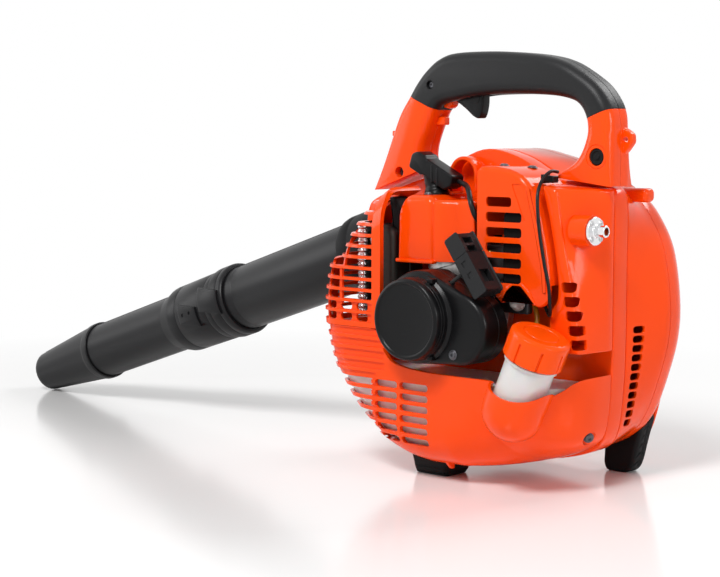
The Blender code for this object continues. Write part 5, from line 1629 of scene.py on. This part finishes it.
@dataclass
class Controls:
    """The trigger, the stop switch, the throttle cable and the primer."""

    pivot: tuple[float, float] = (-14.0, 343.5)

    def build(self) -> None:
        """Builds the trigger, the switch, the cable and the bulb."""
        self.trigger()
        self.switch()
        self.cable()
        self.bulb()

    def trigger(self) -> None:
        """A curved lever with a round boss on each side at its pivot and at its heel."""
        shape = [(-28, 333.5), (-21.5, 329.5), (-14, 324.6), (-7.5, 319.2), (-3, 317), (0.5, 317), (3, 322),
                 (4.6, 330), (4.6, 341), (-7, 348.8), (-20, 348.8), (-26, 343)]
        lever = plate("trigger_lever", filleted(shape, [3, 3, 3, 3, 2, 2, 3, 3, 3, 3, 3, 3], 6), -5.5, 5.5, 1.8, 1.8, 6)
        x, z = self.pivot
        bosses = [rod("trigger_boss", (x, -6, z), (x, 6, z), 5, 40),
                  rod("trigger_heel", (-3.5, -5.9, 334.5), (-3.5, 5.9, 334.5), 4.2, 40)]
        shaped(lever, Op.FUSE, *bosses)
        shaped(lever, Op.CUT, rod("trigger_eye", (x, -9, z), (x, 9, z), 2.4, 32))
        settle(lever, Finishes.BLACK, "black_plastic", "throttle_trigger", body="trigger")

    def switch(self) -> None:
        """The orange wedge."""
        shape = filleted([(-41, 327), (-35, 325.5), (-31, 328.5), (-31, 341), (-41, 341)], 1.6, 5)
        wedge = plate("stop_wedge", shape, -5, 5, 1.5, 1.5, 5)
        settle(wedge, Finishes.ORANGE, "orange_case", "stop_switch", body="stop")

    def cable(self) -> None:
        """The throttle cable from the handle's foot down to the carburettor, with its end ferrules."""
        route = [(97, -20, 272), (97, -30, 272.5), (97.5, -41, 267), (99.5, -51, 257), (102, -55.2, 243),
                 (105, -56, 222), (110, -56, 197), (114.5, -55.8, 178), (115, -54.6, 164), (112, -50, 154),
                 (106, -43.5, 153), (100, -41, 160), (94, -41.2, 169), (86, -43, 173.3), (72, -45, 173.6),
                 (60.5, -46, 174)]
        settle(swept("throttle_bowden", smooth_path(route, 8), 1.5, 16), Finishes.CORD_SHEATH, "black_plastic",
               "throttle_cable")

    def bulb(self) -> None:
        """The clear primer bulb: a quarter of an ellipse turned round, on a flat rim."""
        a = np.radians(np.linspace(90, 4, 14))
        dome = np.stack([7.0 * np.cos(a), 1.0 + 7.0 * np.sin(a)], axis=1)
        profile = [(0, 8.0), *dome[1:], (7.6, 1.2), (7.6, 0), (0, 0)]
        settle(turned("primer_dome", profile, (74, -43.6, 161), (0, -1, 0), 48), Finishes.BULB, "clear_bulb",
               "primer_bulb", body="primer")


@dataclass
class Ignition:
    """The spark plug's boot and lead."""

    def build(self) -> None:
        """Builds the boot and the lead."""
        self.boot()
        self.lead()

    def boot(self) -> None:
        """A rubber elbow: a thick arm along the plug's top, a leg down to the plug, and rings where it grips."""
        shape = [(-54, 274), (-40, 266.8), (-38, 267.4), (-12.5, 253.8), (-5, 257), (-3, 266.5), (-33, 281.5),
                 (-34.5, 284.5), (-43, 288), (-50, 286)]
        outline = filleted(shape, [2.5, 1, 1, 2.5, 2.5, 2.5, 0.8, 0.8, 2.5, 2.5], 5)
        arm = plate("boot_arm", outline, -39, -21, 2.2, 2.2, 5, np.array((-29.0, 271.0)))
        foot, along = CYLINDER_FOOT, CYLINDER_AXIS
        leg = turned("boot_leg", rounded_profile([(0, 104), (11.5, 104), (11.5, 107), (10.6, 108), (10.6, 110.5),
                                                  (8.8, 113.5), (8.6, 126), (0, 126)], 0.8), foot, along, 48)
        shaped(arm, Op.FUSE, leg)
        shaped(arm, Op.CUT, rod("boot_bore", foot + along * 100, foot + along * 121, 5.4, 40))
        collars = [block(f"boot_collar_{k}", (x - 1.1, -39.6, z - 8), (x + 1.1, -20.4, z + 8), 0.8)
                   for k, (x, z) in enumerate(((-26, 268.2), (-20, 265.2)))]
        shaped(arm, Op.FUSE, *collars)
        settle(arm, Finishes.BLACK, "black_rubber", "spark_plug_boot")

    def lead(self) -> None:
        """The lead from the boot down to the coil."""
        route = [(-2.2, -30, 261.5), (9, -34, 258.5), (20, -44, 253.5), (28, -51, 244), (31.5, -49, 233),
                 (31.5, -38, 224), (31, -26, 219), (30.5, -13, 214)]
        settle(swept("plug_lead", smooth_path(route, 8), 2.4, 18), Finishes.CORD_SHEATH, "black_rubber",
               "ignition_lead")


# ------------------------------------------------------------------ blow tube


@dataclass
class BlowTube:
    """The socket's sleeve, the upper tube, the ring, and the lower tube and nozzle that twist off."""

    pad: tuple[float, float] = (100.0, 120.0)

    def tube(self, name: str, outer: list[tuple[float, float]], inner: list[tuple[float, float]],
             steps: int = 128) -> bpy.types.Object:
        """A hollow turned piece from (x, radius) stations, both lists from the fan outwards."""
        return turned(name, tube_profile(outer + inner[::-1]), SOCKET, TUBE_AXIS, steps)

    def seam(self, name: str, stations: list[tuple[float, float]], angle: float,
             radius: float = 0.5) -> bpy.types.Object:
        """A raised parting line along a tube, at an angle round it."""
        u, v, _ = basis(TUBE_AXIS)
        a = math.radians(angle)
        path = np.array([on_tube(x) + r * (math.cos(a) * u + math.sin(a) * v) for x, r in stations])
        return swept(name, path, radius, 8)

    def build(self) -> None:
        """Builds the five pieces from the fan outwards."""
        self.sleeve()
        self.upper()
        self.ring()
        self.lower()
        self.nozzle()

    def sleeve(self) -> None:
        """The black sleeve in the case's outlet, with two raised bands and a soft lip."""
        outer = [(-118, 38), (-150, 38), (-168, 38), (-169, 37.4), (-171, 37.4), (-172, 38), (-178, 38), (-182, 37.2),
                 (-185, 35.8), (-186, 34.9)]
        inner = [(-118, 32), (-159, 32), (-159, 34.3), (-186, 34.3)]
        settle(self.tube("socket_sleeve", outer, inner), Finishes.RUBBER, "black_plastic", "outlet_sleeve")

    def upper(self) -> None:
        """The upper tube with its parting lines."""
        outer = [(-159.5, 34), (-334, 33.3), (-335, 33.0), (-336, 33.3), (-396, 33)]
        tube = self.tube("upper_pipe", outer, [(-159.5, 31.9), (-396, 30.8)])
        settle(tube, Finishes.TUBE, "dark_tube", "upper_tube")
        for k, angle in enumerate((20, 200)):
            line = self.seam(f"upper_seam_{k}", [(-188, 33.88), (-344, 33.12)], angle, 0.45)
            settle(line, Finishes.TUBE, "dark_tube")

    def ring(self) -> None:
        """The coupling ring with its two lugs."""
        outer = [(-346, 36.2), (-347, 37.4), (-349, 38), (-353, 38), (-354, 37.5), (-355, 38), (-364, 38), (-366, 37.6)]
        ring = self.tube("bayonet_ring", outer, [(-346, 33.7), (-366, 33.7)])
        lugs = self.tube("lug_band", [(-350, 40.6), (-352, 41.5), (-376, 41.5), (-378, 40.8)],
                         [(-350, 36.9), (-378, 36.9)])
        zones = [block(f"lug_zone_{side}", (-420, TUBE_Y + side * 60 - 45, 116),
                       (-330, TUBE_Y + side * 60 + 45, 140), 1.5) for side in (-1, 1)]
        shaped(lugs, Op.KEEP, joined("lug_zones", zones))
        settle(shaped(ring, Op.FUSE, lugs), Finishes.TUBE, "dark_tube", "coupling_ring")

    def lower(self) -> None:
        """The lower tube: a wide collar with bands, a cone, a long pipe and the thumb pad with two dots."""
        outer = [(-367, 36.0), (-368, 36.4), (-374, 36.4), (-375, 36.0), (-376, 36.4), (-418, 35.9), (-419, 35.5),
                 (-420, 35.9), (-430, 35.8), (-433, 35.4), (-446, 30.9), (-449, 30.5), (-566, 30.1), (-586, 30.0)]
        tube = self.tube("lower_pipe", outer, [(-367, 33.6), (-428, 33.4), (-443, 28.2), (-586, 27.8)])
        pad = self.tube("pad_band", [(-386, 38.4), (-388, 39.2), (-410, 38.7), (-412, 37.9)], [(-386, 35), (-412, 35)])
        shaped(pad, Op.KEEP, block("pad_zone", (-430, TUBE_Y - 60, self.pad[0]), (-370, TUBE_Y - 20, self.pad[1]), 2.5))
        shaped(tube, Op.FUSE, pad)
        dots = []
        for k, x in enumerate((-394, -404)):
            middle = on_tube(x) + (0, -38.2, 0)
            dots.append(rod(f"pad_dot_{k}", middle + (0, -3, -1), middle + (0, 0.3, -1), 2.0, 24))
        shaped(tube, Op.CUT, joined("pad_dots", dots))
        settle(tube, Finishes.TUBE, "dark_tube", "lower_tube", body="nozzle")
        for k, angle in enumerate((20, 200)):
            line = self.seam(f"lower_seam_{k}", [(-450, 30.45), (-570, 30.05)], angle, 0.45)
            settle(line, Finishes.TUBE, "dark_tube", body="nozzle")

    def nozzle(self) -> None:
        """The tapered nozzle with the band at its root and a rolled end."""
        outer = [(-572, 31.6), (-573, 32.4), (-579, 32.4), (-580, 31.8), (-582, 31.0), (-584, 30.9), (-670, 22.6),
                 (-671, 22.6), (-675, 22.2), (-676, 21.6)]
        tip = self.tube("tapered_nozzle", outer, [(-572, 30.4), (-587, 30.4), (-587, 28.4), (-676, 19.7)])
        settle(tip, Finishes.TUBE, "dark_tube", "nozzle_tip", body="nozzle")
        for k, angle in enumerate((20, 200)):
            line = self.seam(f"nozzle_seam_{k}", [(-586, 30.65), (-668, 22.75)], angle, 0.4)
            settle(line, Finishes.TUBE, "dark_tube", body="nozzle")


# ------------------------------------------------------------------ feet


@dataclass
class Feet:
    """The rubber foot under the engine and the treaded skid at the rear."""

    case: FanCase = field(default_factory=FanCase)

    def build(self) -> None:
        """Builds the front foot and the rear skid."""
        self.front()
        self.rear()

    def front(self) -> None:
        """A rounded bar under the lower body, its top following the bowl, with two grooves along it."""
        x = np.linspace(1, -39, 9)
        top = np.stack([x, CRANK_Z - np.sqrt(134.0**2 - x**2)], axis=1)
        outline = np.vstack([[(-39, 6), (-36, 0), (-2, 0), (1, 4)], top])
        soft = np.where(outline[:, 1] < 7, 7.0, 0.0)
        foot = plate("engine_foot", outline, -50, -14, soft, soft, 8)
        grooves = [rod(f"foot_groove_{k}", (-50, y, z), (10, y, z), 0.8, 12)
                   for k, (y, z) in enumerate(((-47.9, 3.2), (-50, 7.6)))]
        shaped(foot, Op.CUT, joined("foot_grooves", grooves))
        settle(foot, Finishes.RUBBER, "black_rubber", "front_foot")

    def rear(self) -> None:
        """A curved rubber strip under the case's lower corner, with slanting tread grooves either side."""
        tread = [(86, 0), (107, 0), (112, 4), (115.5, 12), (118.5, 24), (122, 38), (126, 52), (116, 58), (84, 34),
                 (83, 6)]
        outline = dense(filleted(tread, [3, 4, 4, 5, 5, 5, 3, 3, 3, 3], 6), 2.5)
        skid = plate("rear_skid_tread", outline, 73.5, 94, 4, 4, 6, np.array((104.0, 26.0)))
        envelope = skin("case_envelope", self.case.rings(-GAP, 20, self.case.far + GAP, self.case.edge, 12, False))
        grooves = []
        y = 83.75
        places = ((108.8, 1.2), (113.6, 8), (116.4, 16), (118.8, 24), (121, 32), (123.2, 40), (125.2, 48))
        for k, (x, z) in enumerate(places):
            for side in (-1, 1):
                inner, outer = (x + 0.6, y + side * 1.2, z + 3), (x - 0.4, y + side * 9, z - 3)
                grooves.append(rod(f"tread_{k}_{side}", inner, outer, 0.8, 8))
        middle = smooth_path([(112.6, y, 4), (116.1, y, 12), (119.1, y, 24), (122.6, y, 38), (126.4, y, 52)], 5)
        grooves.append(swept("tread_middle", middle, 0.7, 8))
        shaped(skid, Op.CUT, envelope)
        shaped(skid, Op.CUT, joined("tread_grooves", grooves))
        settle(skid, Finishes.RUBBER, "black_rubber", "rear_skid")


# ------------------------------------------------------------------ what shows of the engine


@dataclass
class EngineParts:
    """The carburettor behind the slots and the finned cylinder, with the details that show there."""

    def build(self) -> None:
        """Builds what can be seen through the cover's slots."""
        self.carburetor()
        self.cylinder()

    def carburetor(self) -> None:
        """The cast body with its primer bracket and two brass screws."""
        body = block("carburetor_body", (20.3, -44, 178), (58, -16, 208), 3.0)
        shaped(body, Op.FUSE, block("primer_arm", (50, -43, 160), (57.5, -37, 182), 1.5),
               block("primer_bracket", (48, -43.4, 151), (84.5, -36.6, 171), 1.8),
               rod("metering_boss", (36, -45.6, 196), (36, -40, 196), 8.0, 48))
        shaped(body, Op.CUT, rod("primer_recess", (74, -50, 161), (74, -39.5, 161), 8.6, 48))
        settle(body, Finishes.DARK_CASTING, "cast_aluminium", "carburetor")
        for k, (x, z) in enumerate(((44, 202), (30, 186))):
            head = [(0, 0), (2.4, 0), (2.4, 2.2), (1.8, 2.8), (0, 2.8)]
            brass = turned(f"jet_screw_{k}", head, (x, -44, z), (0, -1, 0), 24)
            settle(brass, Finishes.BRASS, "steel_parts")

    def cylinder(self) -> None:
        """The finned cylinder, its fins turned about the tilted axis with thin rounded edges."""
        profile: list[tuple[float, float]] = [(5.3, 94), (19, 94)]
        for height in (91.0, 85.5, 80.0, 74.5, 69.0, 63.5, 58.0):
            profile += [(21.4, height), (22, height - 0.4), (22, height - 1.2), (21.4, height - 1.6),
                        (19.5, height - 1.9), (19.5, height - 5.2)]
        profile += [(20, 50), (20, 40), (14.3, 40), (14.3, 86), (5.3, 86)]
        settle(turned("finned_cylinder", profile, CYLINDER_FOOT, CYLINDER_AXIS, 96), Finishes.ALUMINIUM,
               "cast_aluminium", "cylinder")


def note_sizes() -> None:
    """Brings the view layer up to date; it writes nothing."""
    bpy.context.view_layer.update()


def main() -> None:
    """Builds the studio, dresses the frame and builds each sub-assembly in order."""
    logging.basicConfig(level=logging.INFO, stream=sys.stdout, format="%(message)s")
    dress_frame()
    for assembly in (Studio(), FanCase(), LowerBody(), MufflerGuard(), EngineCovers(), Starter(), Handle(),
                     Controls(), Ignition(), BlowTube(), Feet(), EngineParts()):
        assembly.build()
        log.info("built %s", type(assembly).__name__)
    note_sizes()


if __name__ == "__main__":
    main()
